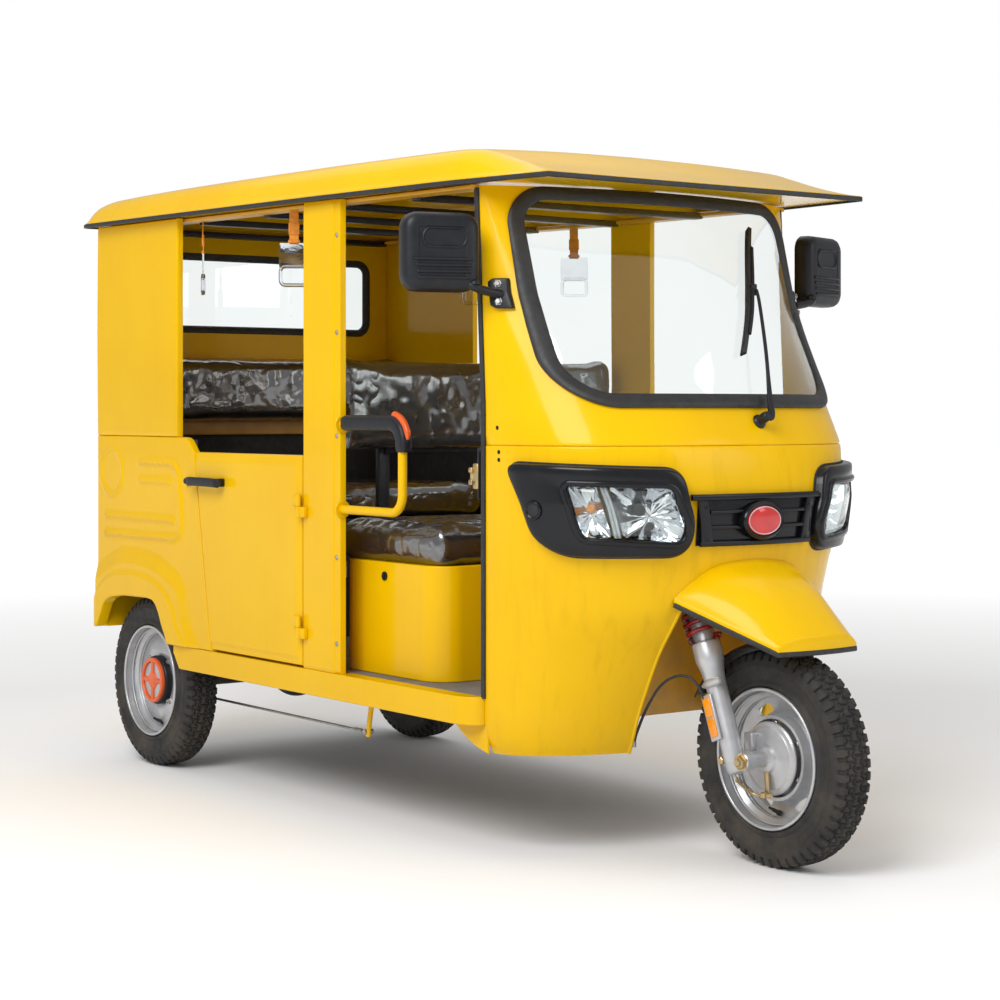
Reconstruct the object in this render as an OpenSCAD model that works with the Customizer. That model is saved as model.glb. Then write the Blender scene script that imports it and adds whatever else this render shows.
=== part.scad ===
// Auto rickshaw: three-wheeled passenger vehicle with cab, half doors and hard roof.
// Millimetres. +X forward, +Y left, +Z up, ground at Z = 0, middle of the length at X = 0.
// Heights named _h are above the floor, stations named _x are forward of the rear axle.

/* [Wheels] */
// Distance from the rear axle line to the front axle line
wheelbase = 2245; // [2200:5:2290]
// Distance between the centre planes of the rear wheels
track = 950; // [940:2:956]
// Outside diameter of each tyre
tyre_od = 520; // [510:1:526]
// Section width of each tyre
tyre_width = 104; // [96:1:110]
// Bead seat diameter of each wheel rim
rim_dia = 336; // [320:2:348]
// Diameter of each rear wheel spindle
spindle_dia = 30; // [24:1:36]
// Running clearance on radius in every bearing
bearing_gap = 0.05; // [0.02:0.01:0.08]

/* [Body] */
// Overall width over the side panels
body_width = 1110; // [1100:2:1130]
// Thickness of each body panel
panel = 20; // [16:1:22]
// Height of the cabin floor above ground
floor_z = 390; // [384:1:400]
// Height of the belt seam above the floor
belt_h = 623; // [600:1:640]
// Height of the roof edge above the floor, at the rear
roof_h = 1298; // [1270:1:1320]
// Fall of the roof edge from rear to front
roof_fall = 32; // [20:1:40]
// Body length behind the rear axle
rear_overhang = 303; // [295:1:315]
// Roof length behind the body
roof_overhang = 34; // [32:1:50]
// Roof width at the rear
roof_width = 1180; // [1170:2:1200]
// Roof width at the front edge of the visor
visor_width = 1040; // [1030:2:1060]
// Station of the visor front edge
visor_x = 2004; // [1990:1:2020]
// Height of the raised roof crown above the brim
crown = 84; // [60:1:100]
// Height of each side sill
sill_height = 70; // [60:1:76]
// Width of each side sill
sill_width = 50; // [40:1:60]

/* [Side openings] */
// Station of the front edge of the rear upper panel
upper_x = 231; // [200:1:260]
// Station of the top rear corner of the door opening
door_x = 337; // [325:1:345]
// Forward lean of the door's rear edge from top to bottom
door_lean = 104; // [90:1:115]
// Height of the door's top edge
door_h = 580; // [560:1:590]
// Gap round each door
door_gap = 6; // [5.5:0.5:8]
// Station of the rear edge of the middle pillar
pillar_x = 956; // [946:1:966]
// Width of the middle pillar
pillar_width = 180; // [165:1:190]
// Diameter of the door hinge pins
hinge_pin = 8; // [6:0.5:9]

/* [Cowl] */
// Station of the cowl's rear edge
cowl_x = 1735; // [1728:1:1742]
// Width of the cowl
cowl_width = 1016; // [1006:2:1024]
// Depth of the nose ahead of the cowl's rear edge
cowl_depth = 427; // [420:1:434]
// Wall of the cowl pressings
cowl_wall = 9; // [7:0.5:11]
// Width of the post on each side of the windshield
post = 68; // [62:1:80]
// Height of the windshield opening's lower edge
glass_h = 726; // [720:1:735]
// Height of the upper cowl below the windshield
apron = 109; // [100:1:115]
// Height of the upper cowl above the windshield
header = 17; // [14:1:28]
// Thickness of the glass
glass = 5; // [4:0.5:6]

/* [Steering] */
// Rake of the steering axis from vertical
rake = 20.7; // [19:0.1:22]
// Distance of the front axle ahead of the steering axis
fork_lead = 47; // [40:1:52]
// Distance between the fork legs
fork_spread = 216; // [206:2:224]
// Diameter of each lower fork leg
leg_dia = 52; // [44:1:56]
// Diameter of the steering stem
stem_dia = 32; // [26:1:36]
// Diameter of the front axle
axle_dia = 20; // [16:1:24]

/* [Seats] */
// Length of the driver's seat box
box_length = 480; // [440:2:500]
// Gap between the driver's seat box and each side panel
seat_gap = 75; // [62:1:95]
// Height of the driver's seat box
box_height = 300; // [280:2:320]
// Thickness of each seat cushion
cushion = 100; // [80:2:110]
// Height of the passenger bench top above the floor
bench_h = 365; // [345:2:375]

/* [Mounts] */
// Diameter of the tow eye bore
tow_bore = 24; // [18:1:28]
// Width of the jack pad under each rail
jack_pad = 60; // [50:1:80]

/* [Hidden] */
$fn = 48;
fit = 0.3;
tyre_r = tyre_od / 2;
rear_end = rear_overhang + roof_overhang;
ax = -(wheelbase + tyre_r - rear_end) / 2;
half = body_width / 2;
inner = half - panel;
rear = ax - rear_overhang;
belt = floor_z + belt_h;
roof_len = visor_x + rear_end;
brim = 12;
floor_t = 8;
rail_h = 42;
rail_y = track / 2 - 175;
spring_y = track / 2 - 135;
rail_w = 40;
rail_face = 62;
pillar_rear = ax + pillar_x;
pillar_front = pillar_rear + pillar_width;
cowl_half = cowl_width / 2;
cowl_rear = ax + cowl_x;
cowl_top_h = roof_edge(cowl_rear + 95) - fit - floor_z;
seam_h = glass_h - apron;
glass_width = cowl_width - 2 * post;
glass_height = cowl_top_h - header - glass_h;
box_width = 2 * (inner - seat_gap);
seat_width = box_width + 20;
axis_x = ax + wheelbase - fork_lead;
well_y = 209;
wall_x = cowl_rear - 15;
wall_t = 8;
hinge_y = half + 13;
hinge_x = pillar_rear - 3;
hinge_heights = [112, 442];
knuckle_r = 7;
knuckle_h = 30;

// Depth of the nose at each height, as a share of the greatest depth
nose = [[-140, 0.504], [-115, 0.543], [-90, 0.569], [-35, 0.614], [10, 0.656], [110, 0.761],
  [221, 0.923], [310, 0.972], [370, 0.993], [460, 1], [550, 0.985], [617, 0.955], [725, 0.83], [860, 0.705],
  [990, 0.574], [1141, 0.365], [1250, 0.215], [1280, 0.175]];
// Squareness of the cowl's plan at each height, 2 for an ellipse
square_table = [[250, 2], [330, 2.15], [480, 2.6], [620, 2.7], [725, 2.45], [816, 2.15], [900, 1.88],
  [990, 1.65], [1280, 1.6]];
// Tuck of the cowl's lower edge at each height
tuck = [[-140, 28], [-115, 13], [-90, 5], [-60, 0]];
// Share of the crown's height along the roof, then across it
crown_run = [[0, 0], [0.008, 0.5], [0.02, 0.72], [0.06, 0.86], [0.3, 0.98], [0.8, 1], [0.87, 0.93],
  [0.9, 0.72], [0.95, 0.33], [1, 0]];
crown_span = [[0, 1.15], [0.4, 1.12], [0.7, 1.05], [0.85, 1], [0.9, 0.95], [0.94, 0.78], [0.97, 0.45],
  [0.985, 0.18], [1, 0]];

function lerp(a, b, t) = a + (b - a) * t;
function rev(v) = [for (i = [len(v) - 1:-1:0]) v[i]];
function squareness(h) = lookup(h, square_table);
function bend(y, h) = sign(y) * asin(pow(min(1, abs(y) / cowl_half), squareness(h) / 2));
// Smooth curve through the points of a table
function span(h, t, i = 0) = i >= len(t) - 2 || h < t[i + 1][0] ? i : span(h, t, i + 1);
function rise(t, i) = let(a = t[max(0, i - 1)], b = t[min(len(t) - 1, i + 1)]) (b[1] - a[1]) / (b[0] - a[0]);
function curve(h, t) = let(i = span(h, t), a = t[i], b = t[i + 1], d = b[0] - a[0],
  u = max(0, min(1, (h - a[0]) / d)))
  a[1] * (1 + 2 * u) * (1 - u) * (1 - u) + b[1] * u * u * (3 - 2 * u)
  + d * (rise(t, i) * u * (1 - u) * (1 - u) - rise(t, i + 1) * u * u * (1 - u));
function nose_x(h) = cowl_rear + cowl_depth * curve(h, nose);
function edge_x(h) = cowl_rear - max(0, h - 710) * 0.055;
function skin(p, off) = let(h = p[1], x = edge_x(h), e = 2 / squareness(h))
  [x + (nose_x(h) - x + off) * pow(max(0, cos(p[0])), e),
  (cowl_half - lookup(h, tuck) + off) * sign(p[0]) * pow(abs(sin(p[0])), e), floor_z + h];
function roof_edge(x) = floor_z + roof_h - brim - roof_fall * (x - ax + rear_end) / roof_len;
function roof_half(u) = lookup(u, [[0, roof_width / 2 - 8], [0.01, roof_width / 2],
  [0.61, roof_width / 2 - 12], [0.85, lerp(roof_width, visor_width, 0.42) / 2], [1, visor_width / 2]]);
function crown_at(u, v) = crown * lookup(u, crown_run) * lookup(abs(v), crown_span);
function axis_at(z) = axis_x - (z - tyre_r) * tan(rake);

// Closed slab between two equal grids of points
module slab(top, low) {
  n = len(top) - 1;
  m = len(top[0]) - 1;
  w = m + 1;
  b = (n + 1) * w;
  polyhedron([for (g = [top, low], r = g, p = r) p], concat(
    [for (i = [0:n - 1], j = [0:m - 1]) [i * w + j, i * w + j + 1, i * w + w + j + 1]],
    [for (i = [0:n - 1], j = [0:m - 1]) [i * w + j, i * w + w + j + 1, i * w + w + j]],
    [for (i = [0:n - 1], j = [0:m - 1]) [b + i * w + j, b + i * w + w + j + 1, b + i * w + j + 1]],
    [for (i = [0:n - 1], j = [0:m - 1]) [b + i * w + j, b + i * w + w + j, b + i * w + w + j + 1]],
    [for (j = [0:m - 1]) [j + 1, j, b + j, b + j + 1]],
    [for (j = [0:m - 1]) [n * w + j, n * w + j + 1, b + n * w + j + 1, b + n * w + j]],
    [for (i = [0:n - 1]) [i * w, i * w + w, b + i * w + w, b + i * w]],
    [for (i = [0:n - 1]) [i * w + w + m, i * w + m, b + i * w + m, b + i * w + w + m]]));
}

// Closed ring whose section is the list of equal loops
module ring(loops) {
  r = len(loops);
  n = len(loops[0]);
  polyhedron([for (l = loops, p = l) p], [for (i = [0:r - 1], c = [0:n - 1], s = [0, 1])
    let(a = i * n + c, b = i * n + (c + 1) % n, d = ((i + 1) % r) * n + (c + 1) % n,
      e = ((i + 1) % r) * n + c)
    s == 0 ? [a, b, d] : [a, d, e]]);
}

// Closed pillow whose first and last loops shrink to a point
module pillow(loops, first, last) {
  r = len(loops);
  n = len(loops[0]);
  polyhedron(concat([for (l = loops, p = l) p], [first, last]), concat(
    [for (i = [0:r - 2], c = [0:n - 1], s = [0, 1])
      let(a = i * n + c, b = i * n + (c + 1) % n, d = (i + 1) * n + (c + 1) % n, e = (i + 1) * n + c)
      s == 0 ? [a, b, d] : [a, d, e]],
    [for (c = [0:n - 1]) [r * n, (c + 1) % n, c]],
    [for (c = [0:n - 1]) [(r - 1) * n + c, (r - 1) * n + (c + 1) % n, r * n + 1]]));
}

// Loop drawn towards a point by a share
function toward(v, c, t) = [for (p = v) lerp(p, c, t)];
function on_skin(v, off) = [for (p = v) skin([bend(p[0], p[1]), p[1]], off)];
// Unrolled cowl: seven millimetres to a degree of bend
function unroll(v) = [for (p = v) [7 * bend(p[0], p[1]), p[1]]];
function on_roll(v, off) = [for (p = v) skin([p[0] / 7, p[1]], off)];

// Children repeated on the left for side 1
module on_side(s) {
  mirror([0, s, 0]) children();
}

// Plate standing on the right side with its outer face at the given distance
module side_plate(outer, t) {
  translate([0, t - outer, 0]) rotate([90, 0, 0]) linear_extrude(t) children();
}

// Round bar between two points
module bar(p, q, r) {
  d = q - p;
  translate(p) rotate([0, acos(d[2] / norm(d)), atan2(d[1], d[0])]) cylinder(r = r, h = norm(d));
}

// Square with round corners, centred
module round_square(w, h, r) {
  square([w - 2 * r, h], center = true);
  square([w, h - 2 * r], center = true);
  for (x = [-1, 1], y = [-1, 1]) translate([x * (w / 2 - r), y * (h / 2 - r)]) circle(r);
}

// Box with round vertical edges, its low corner at the origin
module round_box(l, w, h, r) {
  translate([l / 2, w / 2, 0]) linear_extrude(h) round_square(l, w, r);
}

// Start and half length of each cross member
members = [[rear + 30, rail_y], [ax + 430, half - 80], [ax + 760, half - 80], [ax + 1060, half - 80],
  [ax + 1400, half - 80], [wall_x - 60, half - 80]];

module chassis_frame() {
  z = floor_z - floor_t - fit - rail_h;
  len_rail = wall_x - rear - 40;
  color("dimgray") difference() {
    union() {
      for (s = [-1, 1]) translate([rear + 30, s * rail_y - rail_w / 2, z]) cube([len_rail, rail_w, rail_h]);
      for (c = members) translate([c[0], -c[1], z]) cube([50, 2 * c[1], rail_h]);
      translate([rear - 28, -35, z]) cube([80, 70, 16]);
      for (s = [-1, 1]) translate([ax + 600, s * rail_y - jack_pad / 2, z - 8]) cube([80, jack_pad, 9]);
    }
    translate([rear - 8, 0, z - 1]) cylinder(d = tow_bore, h = 18);
  }
}

module floor_pan() {
  w = half - sill_width - fit;
  color("gray") difference() {
    translate([rear + panel + fit, -w, floor_z - floor_t])
      cube([wall_x - fit - rear - panel - fit, 2 * w, floor_t]);
    for (s = [-1, 1]) translate([ax - tyre_r - 25, s * (track / 2) - 80, floor_z - floor_t - 1])
      cube([tyre_od + 50, 160, floor_t + 2]);
  }
}

module sill(s) {
  z = floor_z - sill_height;
  x0 = ax + 206;
  x1 = cowl_rear - 83;
  color("gold") on_side(s) difference() {
    translate([0, 0, z]) linear_extrude(sill_height - fit)
      polygon(concat([[x0, sill_width - half], [x0, -half]],
      [for (a = [0:10:90]) [x1 + 82 * sin(a), (sill_width - 3) * (1 - cos(a)) - half]],
      [[x1 + 82, sill_width - half]]));
    side_plate(half + 1, sill_width + 2) polygon([[x0 - 1, z - 1], [ax + 244, z - 1], [x0, floor_z - 24],
      [x0 - 1, floor_z - 24]]);
    translate([x0 - 1, -inner, z - 1]) cube([ax + tyre_r + 12 - x0, inner, sill_height + 2]);
  }
}
module sill_right() sill(0);
module sill_left() sill(1);

module wheel_arch() {
  polygon([[ax - 303 - 40, floor_z - 60], [ax - 288, floor_z + 16], [ax - 276, floor_z + 30],
    [ax - 246, floor_z + 78], [ax - 232, floor_z + 97], [ax - 209, floor_z + 110], [ax - 180, floor_z + 118],
    [ax - 100, floor_z + 127], [ax + 60, floor_z + 130], [ax + 96, floor_z + 126], [ax + 118, floor_z + 112],
    [ax + 136, floor_z + 90], [ax + 158, floor_z + 50], [ax + 176, floor_z + 26], [ax + 206, floor_z - 24],
    [ax + 206, floor_z - 60]]);
}

module rear_quarter(s) {
  x0 = ax + door_x;
  color("gold") on_side(s) {
    side_plate(half, panel) difference() {
      polygon([[rear, floor_z + 15], [rear, belt], [x0 - 68, belt], [x0 - 50, belt - 3], [x0 - 34, belt - 11],
        [x0 - 20, belt - 24], [x0 - 8, belt - 37], [x0, belt - 43], [x0 + door_lean, floor_z],
        [ax + 190, floor_z]]);
      wheel_arch();
    }
    side_plate(half + 7, 7) intersection() {
      difference() {
        offset(delta = 14) wheel_arch();
        wheel_arch();
      }
      translate([rear, floor_z + 15]) square([rear_overhang + 190, 200]);
    }
    side_plate(half + 3, 3) {
      difference() {
        translate([ax - 226, belt - 112]) circle(68);
        translate([ax - 226, belt - 112]) circle(60);
      }
      translate([ax + 92, belt - 190]) difference() {
        round_square(284, 236, 46);
        round_square(268, 220, 38);
        translate([-200, -40]) square([200, 240]);
      }
    }
  }
}
module rear_quarter_right() rear_quarter(0);
module rear_quarter_left() rear_quarter(1);

module rear_upper(s) {
  color("gold") on_side(s) side_plate(half, panel) polygon([[rear, belt + fit], [ax + upper_x, belt + fit],
    [ax + upper_x, roof_edge(ax + upper_x) - fit], [rear, roof_edge(rear) - fit]]);
}
module rear_upper_right() rear_upper(0);
module rear_upper_left() rear_upper(1);

module middle_pillar(s) {
  color("gold") on_side(s) {
    side_plate(half, panel + 4) polygon([[pillar_rear, floor_z], [pillar_front, floor_z],
      [pillar_front, roof_edge(pillar_front) - fit], [pillar_rear, roof_edge(pillar_rear) - fit]]);
    for (h = hinge_heights) translate([hinge_x, -hinge_y, floor_z + h - 1]) {
      translate([0, 0, -knuckle_h]) cylinder(r = knuckle_r, h = knuckle_h);
      translate([3, -4, -knuckle_h]) cube([26, 17.5, knuckle_h]);
      cylinder(d = hinge_pin, h = knuckle_h - 4);
    }
  }
}
module middle_pillar_right() middle_pillar(0);
module middle_pillar_left() middle_pillar(1);

module window_hole() {
  translate([0, belt + 465]) round_square(2 * inner - 170, 232, 34);
}

module rear_wall() {
  color("gold") translate([rear, 0, 0]) rotate([90, 0, 90]) linear_extrude(panel) difference() {
    translate([fit - inner, floor_z + 15]) square([2 * (inner - fit), roof_edge(rear) - 15 - floor_z - 1]);
    window_hole();
  }
}

module rear_window() {
  color("lightblue") translate([rear + (panel - glass) / 2, 0, 0]) rotate([90, 0, 90]) linear_extrude(glass)
    offset(delta = -fit) window_hole();
}

module roof() {
  us = [0, 0.008, 0.02, 0.04, 0.06, 0.13, 0.22, 0.3, 0.42, 0.54, 0.66, 0.75, 0.8, 0.84, 0.87, 0.9, 0.95, 1];
  vs = [-1, -0.985, -0.97, -0.94, -0.9, -0.85, -0.77, -0.6, -0.4, -0.2, 0, 0.2, 0.4, 0.6, 0.77, 0.85, 0.9,
    0.94, 0.97, 0.985, 1];
  x0 = ax - rear_end;
  color("gold") slab(
    [for (v = rev(vs)) [for (u = us) let(x = x0 + u * roof_len)
      [x, v * roof_half(u), roof_edge(x) + brim + crown_at(u, v)]]],
    [for (v = rev(vs)) [for (u = us) let(x = x0 + u * roof_len,
      k = lookup(u, [[0.04, 0], [0.06, 1], [0.75, 1], [0.8, 0]]) * lookup(abs(v), [[0.77, 1], [0.85, 0]]))
      [x, v * roof_half(u), roof_edge(x) + k * (crown_at(u, v) - 4)]]]);
}

module roof_frame() {
  y = inner - 50;
  x0 = rear + panel + fit;
  x1 = edge_x(cowl_top_h) - 1;
  color("black") {
    for (x = [rear + 60, ax + 240, ax + 620, ax + 1010, ax + 1380])
      translate([x, -y, roof_edge(x) - 30 - roof_fall * 40 / roof_len - fit]) cube([40, 2 * y, 30]);
    for (s = [0, 1]) on_side(s) side_plate(inner - 5, rail_face - 5) polygon([[x0, roof_edge(x0) - 26],
      [x0, roof_edge(x0) - fit], [x1, roof_edge(x1) - fit], [x1, roof_edge(x1) - 26]]);
  }
}

// Bend angle of each column of the lower cowl and the height of its lower edge
well_edge = [[0, 303], [4, 302], [8, 298], [12, 290], [15, 278], [18, 262], [20.5, 240], [22.5, 210],
  [24.3, 40], [26, -140]];
cowl_columns = concat(well_edge, [for (a = [31:5:86]) [a, -140]], [[90, -140]]);

module cowl_lower() {
  far = [for (i = [len(cowl_columns) - 1:-1:1]) [-cowl_columns[i][0], cowl_columns[i][1]]];
  cols = concat(far, cowl_columns);
  rows = 14;
  color("gold") slab(
    [for (c = cols) [for (j = [0:rows]) skin([c[0], lerp(c[1], seam_h, j / rows)], 0)]],
    [for (c = cols) [for (j = [0:rows]) skin([c[0], lerp(c[1], seam_h, j / rows)], -cowl_wall)]]);
}

// Quarter of the windshield opening, each point with its partner on the panel's outer edge
function frame_quarter(a, b, r, top, h_top) = concat(
  [for (k = [1:2]) let(h = (b - r) * k / 3) [[a, h], [90, h]]],
  [for (k = [0:8]) let(t = 90 * k / 8, u = k / 8) [[a - r + r * cos(t), b - r + r * sin(t)],
    u <= 0.5 ? [90, lerp(b - r, top, 2 * u)] : [lerp(90, bend(a - r, h_top), 2 * u - 1), top]]],
  [for (k = [1:5]) let(y = (a - r) * (1 - k / 6)) [[y, b], [bend(y, h_top), top]]]);
function frame_loop(grow) = let(a = glass_width / 2 + grow, b = glass_height / 2 + grow,
  m = glass_h + glass_height / 2, t = cowl_top_h - m, l = m - seam_h - fit,
  up = frame_quarter(a, b, 84 + grow, t, m + t),
  dn = frame_quarter(a, b, 112 + grow, l, m - l),
  all = concat([[[a, 0], [90, 0]]], up, [[[0, b], [0, t]]],
    rev([for (q = up) [[-q[0][0], q[0][1]], [-q[1][0], q[1][1]]]]), [[[-a, 0], [-90, 0]]],
    [for (q = dn) [[-q[0][0], -q[0][1]], [-q[1][0], -q[1][1]]]], [[[0, -b], [0, -l]]],
    rev([for (q = dn) [[q[0][0], -q[0][1]], [q[1][0], -q[1][1]]]])))
  [for (q = all) [[bend(q[0][0], q[0][1] + m), q[0][1] + m], [q[1][0], q[1][1] + m]]];

module cowl_upper() {
  f = frame_loop(0);
  steps = [0, 0.25, 0.5, 0.75, 1];
  color("gold") ring(concat(
    [for (t = steps) [for (q = f) skin(lerp(q[0], q[1], t), 0)]],
    [for (t = rev(steps)) [for (q = f) skin(lerp(q[0], q[1], t), -cowl_wall)]]));
}

module windshield() {
  f = [for (q = frame_loop(-fit)) q[0]];
  c = [0, glass_h + glass_height / 2];
  steps = [0.25, 0.5, 0.75, 1];
  o = -(cowl_wall - glass) / 2;
  color("lightblue") pillow(concat(
    [for (t = steps) [for (p = f) skin(lerp(c, p, t), o)]],
    [for (t = rev(steps)) [for (p = f) skin(lerp(c, p, t), o - glass)]]), skin(c, o), skin(c, o - glass));
}

// Outline of each lamp bezel and of the lens inside it, as [across, height]
bezel_edge = [[-206, 354], [-188, 430], [-222, 563], [-505, 577], [-482, 394], [-440, 354]];
lamp_mid = [-335, 458];
seat = 0.9;
lamp_steps = [2, 4, 13, 5, 2, 7];
lens_edge = [[-224, 388], [-214, 420], [-250, 518], [-452, 524], [-430, 432], [-416, 400]];

lamp_roll = unroll([lamp_mid])[0];
// Points of a lamp outline on the unrolled cowl, as many for the lens as for the bezel
function lamp_loop(v, d) = [for (i = [0:len(v) - 1]) let(u = unroll(v), q = len(v), p = u[i],
  a = u[(i + q - 1) % q], b = u[(i + 1) % q], s = p + (a - p) * d / norm(a - p),
  e = p + (b - p) * d / norm(b - p), f = b + (p - b) * d / norm(p - b), m = lamp_steps[i])
  for (w = [0:3 + m]) w <= 4 ? let(t = w / 4) s * (1 - t) * (1 - t) + p * 2 * t * (1 - t) + e * t * t
    : lerp(e, f, (w - 4) / m)];

module lamp_bezel(s) {
  a = lamp_loop(bezel_edge, 24);
  b = lamp_loop(lens_edge, 14);
  front = [[0, 19], [0.12, 26], [0.4, 26], [0.7, 25], [0.93, 24], [1, 14]];
  color("black") on_side(s) ring(concat([for (f = front) on_roll(lerp(b, a, f[0]), f[1])],
    [for (k = [0:5]) on_roll(lerp(a, b, k / 5), seat)]));
}
module lamp_bezel_right() lamp_bezel(0);
module lamp_bezel_left() lamp_bezel(1);

module headlamp(s) {
  b = toward(lamp_loop(lens_edge, 14), lamp_roll, 0.006);
  rows = [[0.66, 17], [0.33, 16], [0.06, 13], [0, 10], [0, seat], [0.33, seat], [0.66, seat]];
  color("white") on_side(s) pillow([for (r = rows) on_roll(toward(b, lamp_roll, r[0]), r[1])],
    on_roll([lamp_roll], 17)[0], on_roll([lamp_roll], seat)[0]);
}
module headlamp_right() headlamp(0);
module headlamp_left() headlamp(1);

// Curved plate on the nose between two heights and two distances from the centre line
module grille_plate(y0, y1, h0, h1, low, high) {
  n = ceil((y1 - y0) / 28);
  m = ceil((h1 - h0) / 28);
  slab([for (i = [0:n]) on_skin([for (k = [0:m]) [lerp(y0, y1, i / n), lerp(h0, h1, k / m)]], high)],
    [for (i = [0:n]) on_skin([for (k = [0:m]) [lerp(y0, y1, i / n), lerp(h0, h1, k / m)]], low)]);
}

module front_grille() {
  low = 6 + fit;
  color("black") {
    grille_plate(-182, 182, 378, 500, seat, 6);
    grille_plate(-182, 182, 486, 500, low, 16);
    grille_plate(-182, 182, 378, 390, low, 16);
    for (y = [-182, 150]) grille_plate(y, y + 32, 391, 485, low, 16);
    for (h = [417, 454], y = [-146, 74]) grille_plate(y, y + 72, h, h + 10, low, 13);
    translate([nose_x(436) + low, 0, floor_z + 436]) rotate([90, 0, 90]) linear_extrude(26)
      polygon([for (a = [0:7.5:352.5]) [66 * cos(a), 47 * sin(a)]]);
  }
}

// Across the fender from side to centre: share of the half width, height at the body and height at the tip
fender = [[1, 244, 142], [0.95, 268, 156], [0.86, 288, 162], [0.66, 318, 168], [0.48, 331, 171],
  [0.24, 338, 172], [0, 340, 172]];
fender_half = 214;
fender_tip_half = 126;
fender_reach = 138;
function fender_at(u, f, s, drop) = let(y0 = s * f[0] * fender_half,
  a = skin([bend(y0, f[1]), f[1]], seat),
  b = [ax + wheelbase + fender_reach - 14 * f[0] * f[0], s * f[0] * fender_tip_half, floor_z + f[2]])
  [lerp(a[0], b[0], u), lerp(a[1], b[1], u) * (1 - drop / fender_half),
  lerp(a[2], b[2], u) + 26 * sin(180 * u) * (1 - pow(f[0], 4)) - drop];

module front_fender() {
  us = [0, 0.12, 0.25, 0.4, 0.55, 0.7, 0.82, 0.92, 1];
  last = len(fender) - 1;
  half_rows = [for (f = fender) [f, 1]];
  rows = concat(half_rows, [for (i = [last - 1:-1:0]) [fender[i], -1]]);
  color("gold") slab([for (r = rows) [for (u = us) fender_at(u, r[0], r[1], 0)]],
    [for (r = rows) [for (u = us) fender_at(u, r[0], r[1], 5)]]);
}

module front_bulkhead() {
  z0 = floor_z - 90;
  w = cowl_half - cowl_wall - 4;
  roof_z = floor_z + 312;
  web = 0.7 * (seam_h - 328);
  color("gold") difference() {
    union() {
      translate([wall_x, -w, z0]) cube([wall_t, 2 * w, floor_z + seam_h - 16 - fit - z0]);
      translate([wall_x, -well_y - wall_t, roof_z]) cube([350, 2 * (well_y + wall_t), wall_t]);
      for (s = [0, 1]) on_side(s) side_plate(well_y + wall_t, wall_t) polygon([[wall_x, z0], [ax + 1836, z0],
        [ax + 1936, floor_z + 10], [ax + 1986, floor_z + 110], [ax + 2046, floor_z + 210],
        [ax + 2060, floor_z + 310], [wall_x, roof_z + 1]]);
      for (s = [-1, 1]) translate([wall_x, s * 24 - 4, roof_z + 1])
        cube([axis_at(roof_z + web) - wall_x, 8, web]);
      translate([axis_x, 0, tyre_r]) rotate([0, -rake, 0]) translate([0, 0, 500])
        cylinder(d = stem_dia + 30, h = 190);
    }
    translate([axis_x, 0, tyre_r]) rotate([0, -rake, 0]) {
      translate([0, 0, 380]) cylinder(d = stem_dia + 2 * bearing_gap, h = 400);
      translate([0, 0, 380]) cylinder(d = stem_dia + 24, h = 119);
    }
  }
}

module dash_shelf() {
  z = floor_z + seam_h - 16;
  d = nose_x(seam_h) - cowl_rear - cowl_wall - 6;
  w = cowl_half - cowl_wall - 6;
  color("dimgray") {
    translate([0, 0, z]) linear_extrude(10) difference() {
      polygon(concat([[wall_x - 40, -w], [cowl_rear, -w]],
        [for (a = [-84:6:84]) [cowl_rear + d * pow(cos(a), 0.8), w * sign(a) * pow(abs(sin(a)), 0.8)]],
        [[cowl_rear, w], [wall_x - 40, w]]));
      translate([axis_at(z) - 8, 0]) circle(d = stem_dia + 40);
    }
    translate([ax + 2000, -120, z + 10]) cube([60, 240, 44]);
    translate([wall_x - 40, -w, z - 120]) cube([wall_t, 2 * w, 121]);
  }
}

module seat_box() {
  x = pillar_front - 150;
  t = 6;
  color("gold") difference() {
    translate([x, -box_width / 2, floor_z + fit]) round_box(box_length, box_width, box_height, 80);
    translate([x + t, t - box_width / 2, floor_z - 1])
      round_box(box_length - 2 * t, box_width - 2 * t, box_height - t + 1, 80 - t);
  }
}

module engine_block() {
  color("gray") translate([pillar_front - 60, -170, floor_z + fit]) cube([320, 340, box_height - 80]);
}

module driver_cushion() {
  color("black") translate([pillar_front - 164, -seat_width / 2, floor_z + box_height + 2 * fit])
    round_box(box_length + 20, seat_width, cushion, 44);
}

module driver_backrest() {
  x = pillar_front - 190;
  color("black") {
    translate([x, -seat_width / 2, floor_z + box_height + 286]) rotate([90, 0, 90])
      round_box(seat_width, 262, 84, 34);
    for (s = [-1, 1]) translate([x + 6, s * 300 - 18, floor_z + fit]) cube([18, 36, box_height + 320]);
  }
}

module rail_edge(grow) {
  translate([pillar_front + 140, floor_z + 552]) round_square(320 + 2 * grow, 250 + 2 * grow, 60 + grow);
}

module arm_rail(s) {
  color("gold") on_side(s) side_plate(half - 1, 24) difference() {
    rail_edge(0);
    rail_edge(-24);
    translate([pillar_front - 100, floor_z + 300]) square([100 + fit, 500]);
  }
}
module arm_rail_right() arm_rail(0);
module arm_rail_left() arm_rail(1);

module arm_pad(s) {
  color("black") on_side(s) side_plate(half + 6, 40) intersection() {
    difference() {
      rail_edge(14);
      rail_edge(fit);
    }
    translate([pillar_front + 4, floor_z + 590]) square([400, 200]);
  }
}
module arm_pad_right() arm_pad(0);
module arm_pad_left() arm_pad(1);

module bench_base() {
  w = inner - fit;
  x0 = rear + panel + fit;
  x1 = ax + tyre_r + 60;
  color("black") {
    translate([x0, -w, floor_z + bench_h - 16]) cube([x1 - x0, 2 * w, 16]);
    translate([x1 - 16, sill_width - half + fit, floor_z + fit])
      cube([16, 2 * (half - sill_width - fit), bench_h - 10]);
  }
}

module rear_cushion() {
  color("black") translate([ax - 190, -inner + 10, floor_z + bench_h + fit])
    round_box(tyre_r + 264, 2 * inner - 20, cushion, 44);
}

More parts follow.
